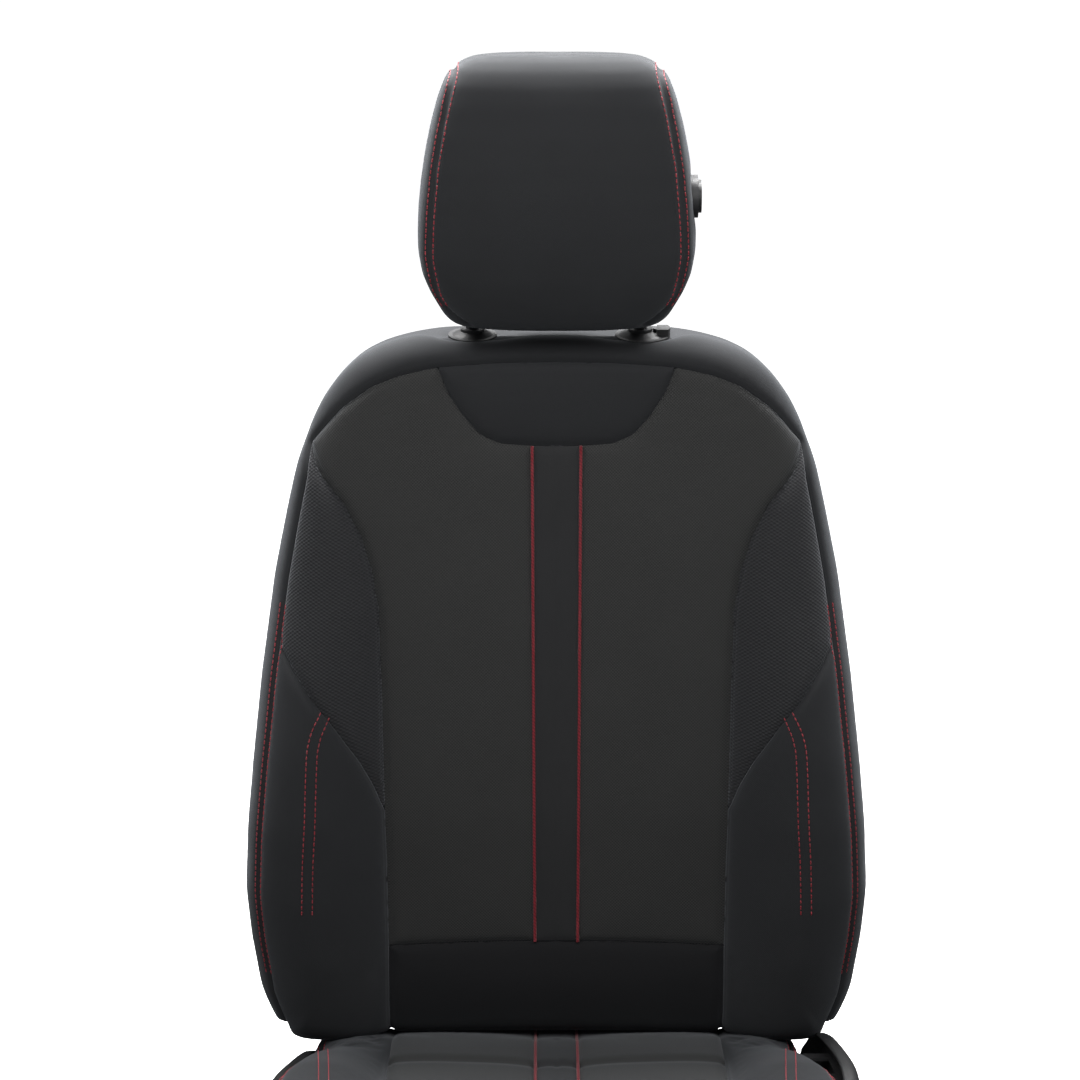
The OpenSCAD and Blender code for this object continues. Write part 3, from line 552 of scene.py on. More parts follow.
def blow_up(trial, pinned, places, out):
    """Runs the cloth trial with some points held, returns how far each rose (mm), removes the trial."""
    trial.vertex_groups.new(name="sewn").add(pinned, 1.0, "REPLACE")
    cloth = trial.modifiers.new("cloth", "CLOTH")
    rules = cloth.settings
    rules.vertex_group_mass = "sewn"
    rules.quality, rules.mass = 4, 0.2
    rules.tension_stiffness = rules.compression_stiffness = 22.0
    rules.shear_stiffness, rules.bending_stiffness = 12.0, 1.2
    rules.use_pressure, rules.uniform_pressure_force = True, 4.0
    rules.effector_weights.gravity = 0.0
    cloth.point_cache.frame_start, cloth.point_cache.frame_end = 1, BLOW_FRAMES
    for moment in range(1, BLOW_FRAMES + 1):
        scene.frame_set(moment)
    blown = trial.evaluated_get(bpy.context.evaluated_depsgraph_get())
    after = np.empty(len(trial.data.vertices) * 3)
    blown.to_mesh().vertices.foreach_get("co", after)
    blown.to_mesh_clear()
    bpy.data.objects.remove(trial)
    scene.frame_set(1)
    rise = ((after.reshape(-1, 3)[:len(places)] - places) * out).sum(1) / MM
    return np.where(np.isfinite(rise), rise, 0.0)


def capped(rise, cap):
    """The trial's movement, scaled to a real one: it nears the cap and never passes it."""
    peak = max(float(np.percentile(np.abs(rise), 97)), 1e-3)
    return cap * np.tanh(rise / peak * 1.2)


def swell(form, loop, thick, cap):
    """Blows up a coarse copy of a panel between its seams: its flat points, how far each rose (mm)."""
    flat, faces, rim = fill(loop, COARSE_STEP, [])
    places, out = form.surface(flat)
    held = nearest_on(rim, flat)[2] < 1e-3
    corners, shell = close_shell(places, places - out * thick * MM, faces)
    coarse = new_piece("foam_trial", corners, shell, diamond_weave)
    pinned = [int(k) for k in np.nonzero(held)[0]] + list(range(len(flat), 2 * len(flat)))
    return flat, capped(blow_up(coarse, pinned, places, out), cap)


def carry(flat, rise, fine):
    """Reads the swelling at fine points from its four nearest coarse ones."""
    tree = kdtree.KDTree(len(flat))
    for k, (x, y) in enumerate(flat):
        tree.insert((x, y, 0.0), k)
    tree.balance()
    result = np.zeros(len(fine))
    for k, (x, y) in enumerate(fine):
        near = tree.find_n((x, y, 0.0), 5)
        weight = [1.0 / (gap * gap + 4.0) for _, _, gap in near]
        result[k] = sum(w * rise[index] for w, (_, index, _) in zip(weight, near)) / sum(weight)
    return result


sewn_panels = {}


def sew_panel(name, form, loop, material, node=None, slot="knit", body="backrest", step=4.0,
              groove=2.6, puff=1.6, cap=2.5, dents=()):
    """One finished panel: fine triangles on the form, grooved at its seams, swollen in between.

    node is the frame part it stands for. Dents are (line, depth, width) in mm on the plan."""
    flat, faces, rim = fill(loop, step, SEAM_ROWS)
    gap = nearest_on(rim, flat)[2]
    places, out = form.surface(flat)
    rise = puff * (1 - np.exp(-gap / PUFF_REACH)) - groove * np.exp(-(gap / GROOVE_WIDTH) ** 2)
    rise = rise + carry(*swell(form, loop, WADDING, cap), flat) * (1 - np.exp(-gap / SEAM_HOLD))
    for line, deep, wide in dents:
        rise = rise - deep * np.exp(-(nearest_on(np.asarray(line, float), flat, False)[2] / wide) ** 2)
    outer = places + out * rise[:, None] * MM
    corners, shell = close_shell(outer, places - out * WADDING * MM, faces)
    piece = new_piece(name, corners, shell, material, flat)
    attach(piece, body)
    if node:
        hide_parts(node)
    sewn_panels.setdefault(id(form), []).append((outer, faces))
    print(name, len(faces), "triangles, swollen", round(float(np.abs(rise).max()), 1), "mm")

# %% [markdown]
# ## The backrest's foam
# Heights are measured up the backrest from the recliner's axis, and depths forward from it.
# The middle is a shallow hollow between two bolsters. They start at the seam, rise quickly to
# a crest, and roll over to the side walls. Near the shoulders they sink back into the middle.

# %%
RECLINER = (200.0, 255.0)
LEAN = math.radians(8.0)
half_width = [(-8, 253), (40, 270), (90, 278), (135, 282), (190, 280), (250, 275), (330, 267), (420, 255),
              (480, 243), (520, 234), (556, 221), (578, 210), (600, 194), (615, 178), (626, 156), (633, 130),
              (637, 104)]
bolster_seam = [(-40, 152), (-8, 152), (81, 152), (155, 153), (221, 155), (315, 157), (390, 160), (425, 166),
                (457, 176), (486, 191), (513, 213), (540, 223), (660, 240)]
middle_depth = [(-40, 84), (2, 84), (20, 92), (45, 95), (70, 91), (120, 92), (200, 93), (300, 87), (400, 79),
                (500, 71), (560, 66), (610, 62), (680, 60)]
crest_depth = [(-40, 106), (-8, 108), (20, 122), (70, 136), (130, 142), (200, 140), (260, 131), (330, 116),
               (400, 99), (480, 82), (560, 70), (610, 62), (680, 60)]
read_width, read_seam = table(half_width), table(bolster_seam)
read_middle, read_crest = table(middle_depth), table(crest_depth)


def backrest_height(x, s):
    side = np.abs(x)
    seam, width = read_seam(s), read_width(s)
    low, high = read_middle(s), read_crest(s)
    up = np.clip((side - seam) / (0.62 * np.maximum(width - seam, 20.0)), 0.0, 1.0)
    hollow = 5.0 * np.cos(0.5 * np.pi * np.clip(side / seam, 0.0, 1.0)) * np.clip((620 - s) / 80, 0, 1)
    return low - hollow + (high - low) * np.sin(0.5 * np.pi * up)


def backrest_roll(x, s):
    by_height = np.interp(s, [-8, 60, 300, 420, 520, 600, 640], [34, 62, 62, 58, 45, 34, 30])
    bottom = (s < -4) & (np.abs(x) < 236)
    return np.where(bottom, 22.0, by_height)


def on_backrest(x, s, depth):
    return np.column_stack([x, RECLINER[0] + s * math.sin(LEAN) - depth * math.cos(LEAN),
                            RECLINER[1] + s * math.cos(LEAN) + depth * math.sin(LEAN)])


def mirror_line(points):
    return [(-x, s) for x, s in reversed(points)]


right_edge = [(x, s) for s, x in half_width]
right_edge = [(238, -8), (247, -5)] + [(253.5, 2)] + right_edge[1:] + [(60, 638), (0, 638.5)]
back_outline = right_edge + mirror_line(right_edge)[1:]
backrest = Form(back_outline, backrest_roll, backrest_height, on_backrest, 0.05)
print("backrest outline", len(backrest.line), "points")

# %% [markdown]
# ## The backrest's panels
# Ten panels are drawn on the plan. Their shared seams are written once and reused, so that
# neighbours meet exactly. The rim is one long strip that runs up one side, over the shoulders
# and down the other, from the face to the back shell.

# %%
REAR = -46.0
inner_seam = [(x, s) for s, x in bolster_seam[1:-1]]
top_arc = [(223, 540), (219, 545), (208, 558), (194, 573), (167, 592), (140, 602), (107, 609), (54, 613),
           (0, 614)]
neck_side = [(107, 609), (98, 586), (84, 565), (69, 548), (51, 540), (22, 538)]
cross_seam = [(155, 209), (164, 233), (177, 258), (201, 293), (222, 318), (236, 337), (248, 356), (256, 368)]


def smooth_line(points, step=3.0, passes=3):
    line = resample(points, step, closed=False)
    for _ in range(passes):
        line[1:-1] = (line[:-2] + 2 * line[1:-1] + line[2:]) / 4
    return line


def join(*lines):
    loop = np.vstack([np.asarray(line, float) for line in lines])
    keep = np.linalg.norm(loop - np.roll(loop, 1, axis=0), axis=1) > 0.05
    return loop[keep]


MIRROR = np.array([-1.0, 1.0])
LUMBAR, STRIPE_TOP, UNDER = 83.0, 538.0, -46.0
side_low, corner_share = backrest.share_near((253.5, 6)), backrest.share_near((232, 527))
corner = backrest.flat([(223, 540)])[0]
rim_line = np.vstack([backrest.edge(side_low, corner_share, 3.0)[:-8], [corner]])
seam_line = smooth_line(np.vstack([inner_seam[:-1], [corner]]), 3.0, 2)
arc_line = np.vstack([[corner], backrest.flat(smooth_line(top_arc)[3:])])
arc_line[-1, 0] = 0.0


def part_of(line, s_from, s_to):
    """The part of an upward line between two heights."""
    part = line[(line[:, 1] > s_from + 0.5) & (line[:, 1] < s_to - 0.5)]
    ends = [[np.interp(h, line[:, 1], line[:, 0]), h] for h in (s_from, s_to)]
    return np.vstack([ends[:1], part, ends[1:]])


def lumbar_seam(x_from, x_to):
    x = np.linspace(x_from, x_to, 30)
    return np.column_stack([x, LUMBAR - 3.0 * (x / 152.0) ** 2])


def stripe_at(s):
    return 19.5 + (s - LUMBAR) * 2.5 / (STRIPE_TOP - LUMBAR)


stripe_line = np.array([(stripe_at(s), s) for s in np.linspace(LUMBAR, STRIPE_TOP, 60)])
neck_top = [107.0, np.interp(-107.0, -arc_line[:, 0], arc_line[:, 1])]
neck_line = np.vstack([[neck_top], smooth_line(neck_side, 2.0, 3)[2:]])
arc_beside = arc_line[arc_line[:, 0] > 108.0]
arc_over = np.vstack([neck_line[:1], arc_line[arc_line[:, 0] < 106.0]])
right_middle = join(lumbar_seam(19.5, 152.0), part_of(seam_line, 80.0, seam_line[-2, 1])[1:], arc_beside,
                    neck_line, stripe_line[::-1])
channel_panel = join(stripe_line, [(0.0, STRIPE_TOP - 0.5)], (stripe_line * MIRROR)[::-1])
neck_panel = join([(0.0, STRIPE_TOP - 0.5)], neck_line[::-1], arc_over[1:], (arc_over * MIRROR)[::-1][1:],
                  neck_line * MIRROR)
cross_line = backrest.flat(smooth_line(cross_seam))
cross_in = np.array([[np.interp(209.0, seam_line[:, 1], seam_line[:, 0]), 209.0]])
cross_out = rim_line[np.abs(rim_line[:, 1] - 372.0).argmin()][None]
cross_line = np.vstack([cross_in, cross_line[2:-4], cross_out])
upper_bolster = join(cross_line, part_of(rim_line, cross_out[0, 1], rim_line[-2, 1])[1:], [corner],
                     part_of(seam_line, 209.0, seam_line[-2, 1])[::-1])
lower_bolster = join([(152.0, UNDER), (228.0, UNDER), (247.0, -24.0)],
                     part_of(rim_line, rim_line[0, 1], cross_out[0, 1]),
                     cross_line[::-1], part_of(seam_line, -8.0, 209.0)[::-1])
roll_panel = join([(-152.0, UNDER), (152.0, UNDER)], lumbar_seam(152.0, -152.0))
left_low = backrest.share_near((-253.5, 6))
rim_outer = backrest.edge(side_low, left_low, backrest.wall_end(REAR))
rim_panel = join(rim_outer, rim_line * MIRROR, (arc_line * MIRROR)[1:], arc_line[::-1][1:], rim_line[::-1][1:])

# %%
sew_panel("backrest_middle_right", backrest, right_middle, diamond_weave, "backrest_centre_pad", "weave")
sew_panel("backrest_middle_left", backrest, right_middle * MIRROR, diamond_weave, slot="weave")
CHANNEL = dict(step=3.2, groove=1.6, puff=0.8, cap=1.0)
centre_crease = ([(0, LUMBAR), (0, STRIPE_TOP)], 1.2, 3.0)
sew_panel("backrest_channel", backrest, channel_panel, channel_cloth, dents=[centre_crease], **CHANNEL)
sew_panel("backrest_neck", backrest, neck_panel, brushed_cloth)
sleeve_dents = [([(-94, 660), (94, 660)], 6.0, 20.0)]
sleeve_dents += [([(60 * turn, 660), (92 * turn, 660)], 5.0, 24.0) for turn in (1.0, -1.0)]
sew_panel("backrest_rim", backrest, rim_panel, brushed_cloth, "backrest_shoulder_pad", step=4.0, cap=1.2,
          dents=sleeve_dents)
for side, turn in (("right", 1.0), ("left", -1.0)):
    sew_panel("bolster_upper_" + side, backrest, upper_bolster * [turn, 1.0], loop_knit)
    sew_panel("bolster_lower_" + side, backrest, lower_bolster * [turn, 1.0], brushed_cloth,
              "backrest_bolster_" + side)
# The roll wears the deep cloth, whose dark tone is partly dye and partly painted shade.
sew_panel("lumbar_roll", backrest, roll_panel, deep_dye_and_shade_cloth, "backrest_lumbar_roll")

# %% [markdown]
# ## Stitch rows
# A decorative row is hundreds of equal stitches that follow one line: exactly what Geometry
# Nodes are for. The tree takes a line, walks along it in equal steps, and lays one small
# rounded stitch at each step, turned along the line. The line itself is first dropped onto the
# finished panels with rays, so that every stitch sits on the swollen cloth.

# %%
def node_inputs(tree, sizes):
    """Gives a tree its inputs: a line, some sizes and the thread's material."""
    tree.interface.new_socket("Geometry", in_out="INPUT", socket_type="NodeSocketGeometry")
    for name, kind in [(size, "NodeSocketFloat") for size in sizes] + [("Thread", "NodeSocketMaterial")]:
        tree.interface.new_socket(name, in_out="INPUT", socket_type=kind)
    tree.interface.new_socket("Geometry", in_out="OUTPUT", socket_type="NodeSocketGeometry")
    graph = Graph(tree)
    entry = tree.nodes.new("NodeGroupInput")
    leave = tree.nodes.new("NodeGroupOutput")
    return graph, entry, leave


def hand_on(graph, tree, entry, leave, shape):
    """Ends a tree: real geometry, in the thread's material."""
    real = graph.add("GeometryNodeRealizeInstances", None, 0, Geometry=shape)
    done = graph.add("GeometryNodeSetMaterial", None, 0, Geometry=real, Material=entry.outputs["Thread"])
    tree.links.new(done, leave.inputs[0])
    return tree


def make_stitch_tree():
    tree = bpy.data.node_groups.new("stitch_row", "GeometryNodeTree")
    graph, entry, leave = node_inputs(tree, ["Pitch", "Length", "Thickness"])
    line = graph.add("GeometryNodeMeshToCurve", None, 0, i0=entry.outputs["Geometry"])
    steps = graph.add("GeometryNodeResampleCurve", {"mode": "LENGTH"}, 0, Curve=line, Length=entry.outputs["Pitch"])
    along = graph.add("GeometryNodeInputTangent")
    turn = graph.add("FunctionNodeAlignEulerToVector", {"axis": "Z"}, 0, Vector=along)
    grain = graph.add("GeometryNodeMeshUVSphere", None, 0, Segments=8, Rings=6, Radius=0.5)
    thickness = entry.outputs["Thickness"]
    size = graph.add("ShaderNodeCombineXYZ", None, 0, X=thickness, Y=thickness, Z=entry.outputs["Length"])
    stitch = graph.add("GeometryNodeTransform", None, 0, Geometry=grain, Scale=size)
    row = graph.add("GeometryNodeInstanceOnPoints", None, 0, Points=steps, Instance=stitch, Rotation=turn)
    return hand_on(graph, tree, entry, leave, row)


def make_cord_tree():
    tree = bpy.data.node_groups.new("sewn_cord", "GeometryNodeTree")
    graph, entry, leave = node_inputs(tree, ["Radius"])
    line = graph.add("GeometryNodeMeshToCurve", None, 0, i0=entry.outputs["Geometry"])
    steps = graph.add("GeometryNodeResampleCurve", {"mode": "LENGTH"}, 0, Curve=line, Length=0.004)
    ring = graph.add("GeometryNodeCurvePrimitiveCircle", None, 0, Resolution=10, Radius=entry.outputs["Radius"])
    tube = graph.add("GeometryNodeCurveToMesh", None, 0, Curve=steps, Profile_Curve=ring, Fill_Caps=True)
    return hand_on(graph, tree, entry, leave, tube)


stitch_tree, cord_tree = make_stitch_tree(), make_cord_tree()


def drop_on_cloth(form, flat, lift):
    """World places of a flat line, dropped onto the finished panels of a form, lifted a little.

    A ray that slips through a seam is overruled by its neighbours: the median of nine is kept."""
    flat = np.asarray(flat, float)
    places, out = form.surface(flat)
    panels = sewn_panels[id(form)]
    starts = np.cumsum([0] + [len(points) for points, _ in panels])
    points = np.vstack([points for points, _ in panels])
    faces = np.vstack([group + first for (_, group), first in zip(panels, starts)])
    tree = bvhtree.BVHTree.FromPolygons([tuple(p) for p in points], [tuple(f) for f in faces.tolist()])
    rise = np.zeros(len(places))
    for k, (place, direction) in enumerate(zip(places, out)):
        hit = tree.ray_cast(Vector(place + direction * 0.012), Vector(-direction), 0.03)[0]
        rise[k] = (np.array(hit) - place) @ direction if hit is not None else 0.0
    near = np.array([np.roll(rise, turn) for turn in range(-4, 5)])
    near[:, :4], near[:, -4:] = rise[:4], rise[-4:]
    return places + out * (np.median(near, axis=0) + lift)[:, None]


def line_piece(name, lines, tree, body, **inputs):
    """Runs a geometry tree over one or more world lines and keeps the result as a plain mesh."""
    points = np.vstack(lines)
    edges, first = [], 0
    for line in lines:
        edges += [(first + k, first + k + 1) for k in range(len(line) - 1)]
        first += len(line)
    mesh = bpy.data.meshes.new(name + "_line")
    mesh.from_pydata([tuple(p) for p in points], edges, [])
    guide = bpy.data.objects.new(name + "_line", mesh)
    scene.collection.objects.link(guide)
    rule = guide.modifiers.new("nodes", "NODES")
    rule.node_group = tree
    for item in tree.interface.items_tree:
        if item.item_type == "SOCKET" and item.in_out == "INPUT" and item.name in inputs:
            rule[item.identifier] = inputs[item.name]
    graph = bpy.context.evaluated_depsgraph_get()
    made_mesh = bpy.data.meshes.new_from_object(guide.evaluated_get(graph))
    bpy.data.objects.remove(guide)
    made_mesh.name = name
    made_mesh.polygons.foreach_set("use_smooth", [True] * len(made_mesh.polygons))
    piece = bpy.data.objects.new(name, made_mesh)
    scene.collection.objects.link(piece)
    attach(piece, body)
    print(name, len(made_mesh.polygons), "faces")


def beside(line, gap):
    """A line that runs the given distance to the right of another, on the plan."""
    line = np.asarray(line, float)
    ahead = np.gradient(line, axis=0)
    right = np.column_stack([ahead[:, 1], -ahead[:, 0]]) / np.hypot(*ahead.T)[:, None]
    return line + right * gap


STITCH = dict(Pitch=0.0052, Length=0.0042, Thickness=0.0011, Thread=red_thread)
CORD = dict(Radius=0.0015, Thread=red_cord)
STITCH_LIFT, CORD_LIFT = 0.0003, 0.0006
face_line = [(224.5, 125), (224.2, 145), (223.5, 170), (221.5, 205), (220.4, 245), (219.2, 272), (215, 288),
             (208, 301)]
face_row = backrest.flat(smooth_line(face_line, 4.0, 3))
rim_row = part_of(rim_line, 60.0, 395.0)
rows = []
for turn in (1.0, -1.0):
    for gap in (-4.6, 4.6):
        for line in (face_row, rim_row):
            rows.append(drop_on_cloth(backrest, beside(line, gap) * [turn, 1.0], STITCH_LIFT))
line_piece("backrest_stitches", rows, stitch_tree, "backrest", **STITCH)
cords = [drop_on_cloth(backrest, stripe_line * [turn, 1.0], CORD_LIFT) for turn in (1.0, -1.0)]
line_piece("backrest_red_cords", cords, cord_tree, "backrest", **CORD)

# %% [markdown]
# ## The headrest
# The headrest's cover is one closed bag: a front panel that wraps over the crown, two side
# gussets and a back. Its foam body is a stack of rounded rings, so it is made as rings too,
# and the seams are creases pressed into it along the line where front meets gusset. The same
# blow-up trial as on the panels gives it a slightly full look between its seams.

# %%
POST_FOOT, NOD = (263.2007, 884.3287), math.radians(2.0)
headrest_rings = [(24.5, 2, -26, -22), (24.5, 36, -48, 4), (25, 72, -60, 16), (28, 93, -68, 22),
                  (36, 100.5, -76, 25.5), (46, 106, -80, 27.5), (58, 112.5, -84, 30), (74, 119, -87, 31.5),
                  (95, 122.5, -88.5, 32), (120, 122, -88, 32), (146, 119.5, -86, 31), (174, 115.5, -82, 30),
                  (202, 110.5, -75, 28), (226, 104.5, -66, 25), (243, 98, -56, 20), (254, 88, -45, 13),
                  (260, 76, -34, 5), (262.5, 60, -24, -3), (263.2, 32, -18, -8), (263.4, 2, -14, -12)]
RING_POWER = 0.52
seam_out = [(24, 66), (36, 86), (46, 98), (60, 106), (95, 112.5), (135, 110.5), (174, 107), (215, 99.5),
            (243, 92.5), (266, 86)]
read_seam_out = table(seam_out, 12)
ring_runs = [math.hypot(b[0] - a[0], b[1] - a[1]) for a, b in zip(headrest_rings, headrest_rings[1:])]
ring_steps = np.cumsum([0.0] + ring_runs)
ring_tables = [table([(at, row[k]) for at, row in zip(ring_steps, headrest_rings)], 9) for k in range(4)]
CLIMB = ring_steps[-1]
FINE, COARSE = (118, 176), (34, 52)
BEZEL_Y, BEZEL_LOW, BEZEL_HIGH, BEZEL_SEAT = -28.0, 135.0, 143.0, 108.5
BEZEL_RADIUS, DIP_RADIUS = 20.5, 28.0


def headrest_point(turn, climb):
    """The bare foam's surface, in the headrest's own millimetres.

    Turn 0 is the seat's right side and turn -90 degrees its front."""
    z, half, front, back = (read(climb) for read in ring_tables)
    c, s = np.cos(turn), np.sin(turn)
    x = half * np.sign(c) * np.abs(c) ** RING_POWER
    y = (front + back) / 2 + (back - front) / 2 * np.sign(s) * np.abs(s) ** RING_POWER
    return np.stack([x, y, z], -1)


def seam_turns(climbs):
    """How far round from the side the gusset seam stands on each ring."""
    z, half = ring_tables[0](climbs), ring_tables[1](climbs)
    return np.arccos(np.clip(read_seam_out(z) / half, 0.0, 1.0) ** (1 / RING_POWER))


def headrest_seam(side):
    """One gusset seam: up the front, over the crown and down the back."""
    climbs = np.linspace(CLIMB * 0.23, CLIMB, 1500)
    turns = seam_turns(climbs)
    top = int(np.argmax(turns < 1e-3))
    turns, climbs = turns[:top], climbs[:top]
    both = np.vstack([headrest_point(-turns, climbs), headrest_point(turns, climbs)[::-1]])
    return resample(both, 1.5, closed=False) * [side, 1.0, 1.0]


def headrest_world(local):
    x, y, z = np.moveaxis(local, -1, 0)
    return np.stack([x, POST_FOOT[0] + y * math.cos(NOD) - z * math.sin(NOD),
                     POST_FOOT[1] + z * math.cos(NOD) + y * math.sin(NOD)], -1) * MM


def even_turns(count):
    """Turns that give evenly spaced points round a widest ring."""
    turn = np.linspace(-math.pi, math.pi, 4001)
    ring = headrest_point(turn, np.full(4001, CLIMB * 0.42))
    run = np.concatenate([[0.0], np.cumsum(np.linalg.norm(np.diff(ring, axis=0), axis=1))])
    return np.interp(np.linspace(0.0, run[-1], count + 1)[:-1], run, turn), run[-1]


def ring_grid(rows, columns):
    """The bare foam as rings of points, with each ring's climb and each column's turn."""
    turns, girth = even_turns(columns)
    climbs = np.linspace(0.0, CLIMB, rows)
    local = headrest_point(turns[None, :].repeat(rows, 0), climbs[:, None].repeat(columns, 1))
    return local, turns, climbs, girth


def grid_faces(rows, columns):
    faces = []
    for row in range(rows - 1):
        low, high = row * columns, (row + 1) * columns
        faces += [(low + c, low + (c + 1) % columns, high + (c + 1) % columns, high + c) for c in range(columns)]
    return faces + [tuple(range(columns))[::-1], tuple(range((rows - 1) * columns, rows * columns))]


def outward(points):
    """Directions square to a closed grid of points (rows, columns, 3)."""
    round_ring = np.roll(points, -1, axis=1) - np.roll(points, 1, axis=1)
    up = np.gradient(points, axis=0)
    out = np.cross(round_ring, up)
    return out / np.maximum(np.linalg.norm(out, axis=2), 1e-9)[..., None]


def swell_headrest(rows, columns, cap):
    """How far the bag rises when it is blown up between its seams, on a coarse grid, in mm."""
    local, turns, climbs, _ = ring_grid(rows, columns)
    places = headrest_world(local)
    out = outward(places)
    trial = new_piece("foam_trial", places.reshape(-1, 3), grid_faces(rows, columns), brushed_cloth)
    held = list(range(4 * columns)) + list(range((rows - 2) * columns, rows * columns))
    for row, seam in enumerate(seam_turns(climbs)):
        held += [row * columns + int(np.abs(turns - t).argmin())
                 for t in (-seam, seam, seam - math.pi, math.pi - seam)]
    rise = blow_up(trial, held, places.reshape(-1, 3), out.reshape(-1, 3)).reshape(rows, columns)
    return turns, climbs, capped(rise, cap)


def make_headrest():
    rows, columns = FINE
    local, turns, climbs, girth = ring_grid(rows, columns)
    out = outward(local)
    gap = np.minimum(*[nearest_on(headrest_seam(side), local.reshape(-1, 3), False)[2]
                       for side in (1.0, -1.0)]).reshape(local.shape[:2])
    rise = 0.8 - 2.6 * np.exp(-(gap / 3.2) ** 2)
    coarse_turns, coarse_climbs, coarse = swell_headrest(*COARSE, 3.0)
    wrapped = np.concatenate([coarse_turns - 2 * math.pi, coarse_turns, coarse_turns + 2 * math.pi])
    by_row = np.array([np.interp(turns, wrapped, np.tile(line, 3)) for line in coarse])
    swollen = np.array([np.interp(climbs, coarse_climbs, column) for column in by_row.T]).T
    rise += swollen * (1 - np.exp(-gap / 8.0))
    local = local + out * rise[..., None]
    x, y, z = np.moveaxis(local, -1, 0)
    bezel = np.hypot(z - np.clip(z, BEZEL_LOW, BEZEL_HIGH), y - BEZEL_Y)
    dip = np.where(bezel < BEZEL_RADIUS, np.maximum(x - BEZEL_SEAT, 0.0),
                   2.2 * np.clip((DIP_RADIUS - bezel) / 10, 0, 1) ** 2)
    local[..., 0] -= np.where((x > 90) & (bezel < DIP_RADIUS), dip, 0.0)
    flat = np.stack(np.broadcast_arrays(np.linspace(0, girth, columns)[None, :], climbs[:, None]), -1)
    places = headrest_world(local).reshape(-1, 3)
    piece = new_piece("headrest_cover", places, grid_faces(rows, columns), brushed_cloth, flat.reshape(-1, 2))
    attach(piece, "headrest")
    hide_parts("headrest_pad")
    tree = bvhtree.BVHTree.FromPolygons([tuple(p) for p in places], grid_faces(rows, columns)[:-2])
    print("headrest cover", len(piece.data.polygons), "faces")
    return tree


headrest_tree = make_headrest()


def headrest_row(side, shift):
    """A stitch line at a fixed distance beside a headrest seam."""
    seam = headrest_seam(side)
    seam = headrest_world(seam[seam[:, 2] > 50.0])
    out = np.array([headrest_tree.find_nearest(Vector(place))[1] for place in seam])
    aside = np.cross(np.gradient(seam, axis=0), out)
    for _ in range(12):
        aside[1:-1] = (aside[:-2] + 2 * aside[1:-1] + aside[2:]) / 4
    aside /= np.linalg.norm(aside, axis=1)[:, None]
    hits = [headrest_tree.find_nearest(Vector(place)) for place in seam + aside * shift * MM]
    return np.array([np.array(hit[0]) + np.array(hit[1]) * STITCH_LIFT for hit in hits])


rows = [headrest_row(side, shift) for side in (1.0, -1.0) for shift in (-5.0, 5.0)]
line_piece("headrest_stitches", rows, stitch_tree, "headrest", **STITCH)

# %% [markdown]
# ## The cushion
# The cushion is a padded form too, this time lying down: its plan is the seat from above, and
# its height is measured from the floor. A thigh bolster runs along each side, and the front
# rolls over and drops to the pan. One long border strip goes round both sides and the front.

# %%
cushion_middle = [(-190, 250.5), (-150, 251.5), (-138, 252.5), (-126, 255), (-116, 260), (-106, 265),
                  (-92, 271), (-65, 276), (0, 283), (82, 293), (200, 311), (268, 324), (330, 331), (420, 334)]
cushion_crest = [(-190, 251.5), (-150, 252.5), (-130, 254), (-115, 256), (-104, 258), (-95, 262), (-82, 266),
                 (-65, 271), (-30, 286), (0, 300), (60, 318), (150, 333), (250, 343), (310, 342), (420, 336)]
cushion_half = [(-150, 190), (-122, 219), (-112, 221), (-95, 223), (-65, 226), (-30, 231), (0, 236), (60, 247),
                (150, 257), (250, 259), (310, 252), (350, 236)]
read_seat, read_thigh = table(cushion_middle), table(cushion_crest)
read_half = table(cushion_half + [(430, 200)])
SEAT_SEAM = 150.0


def cushion_height(x, y):
    side, forward = np.abs(x), -y
    low, high = read_seat(forward), read_thigh(forward)
    width = np.maximum(read_half(forward) - SEAT_SEAM, 40.0)
    up = np.clip((side - SEAT_SEAM) / (0.62 * width), 0.0, 1.0)
    hollow = 4.0 * np.cos(0.5 * np.pi * np.clip(side / SEAT_SEAM, 0.0, 1.0))
    return low - hollow + (np.maximum(high, low - 14.0) - low) * np.sin(0.5 * np.pi * up)


def cushion_roll(x, y):
    return np.where(y < -330, 46.0, np.where(y > 100, 9.0, 34.0))


def on_seat(x, y, z):
    return np.column_stack([x, y, z])


right_side = [(0, -391), (90, -390), (160, -386), (200, -377), (222, -362), (236, -344)]
right_side += [(x, -f) for f, x in reversed(cushion_half[1:-1])]
right_side += [(216, 132), (210, 140), (198, 145), (176, 147), (160, 150), (153, 156), (149, 163), (143, 169),
               (134, 171), (70, 172)]
cushion = Form(right_side + mirror_line(right_side), cushion_roll, cushion_height, on_seat, 0.05)
SEAT_BACK, BORDER, SEAT_STRIPE = 166.0, 5.0, 19.0


def seat_wall_end(share, spot, radius):
    floor = np.interp(-spot[:, 1], [-100, 330, 372], [206, 206, 214])
    top = cushion.height(spot[:, 0], spot[:, 1])
    return -(math.pi / 2 - 1) * radius - np.maximum(top - radius - floor, 2.0)


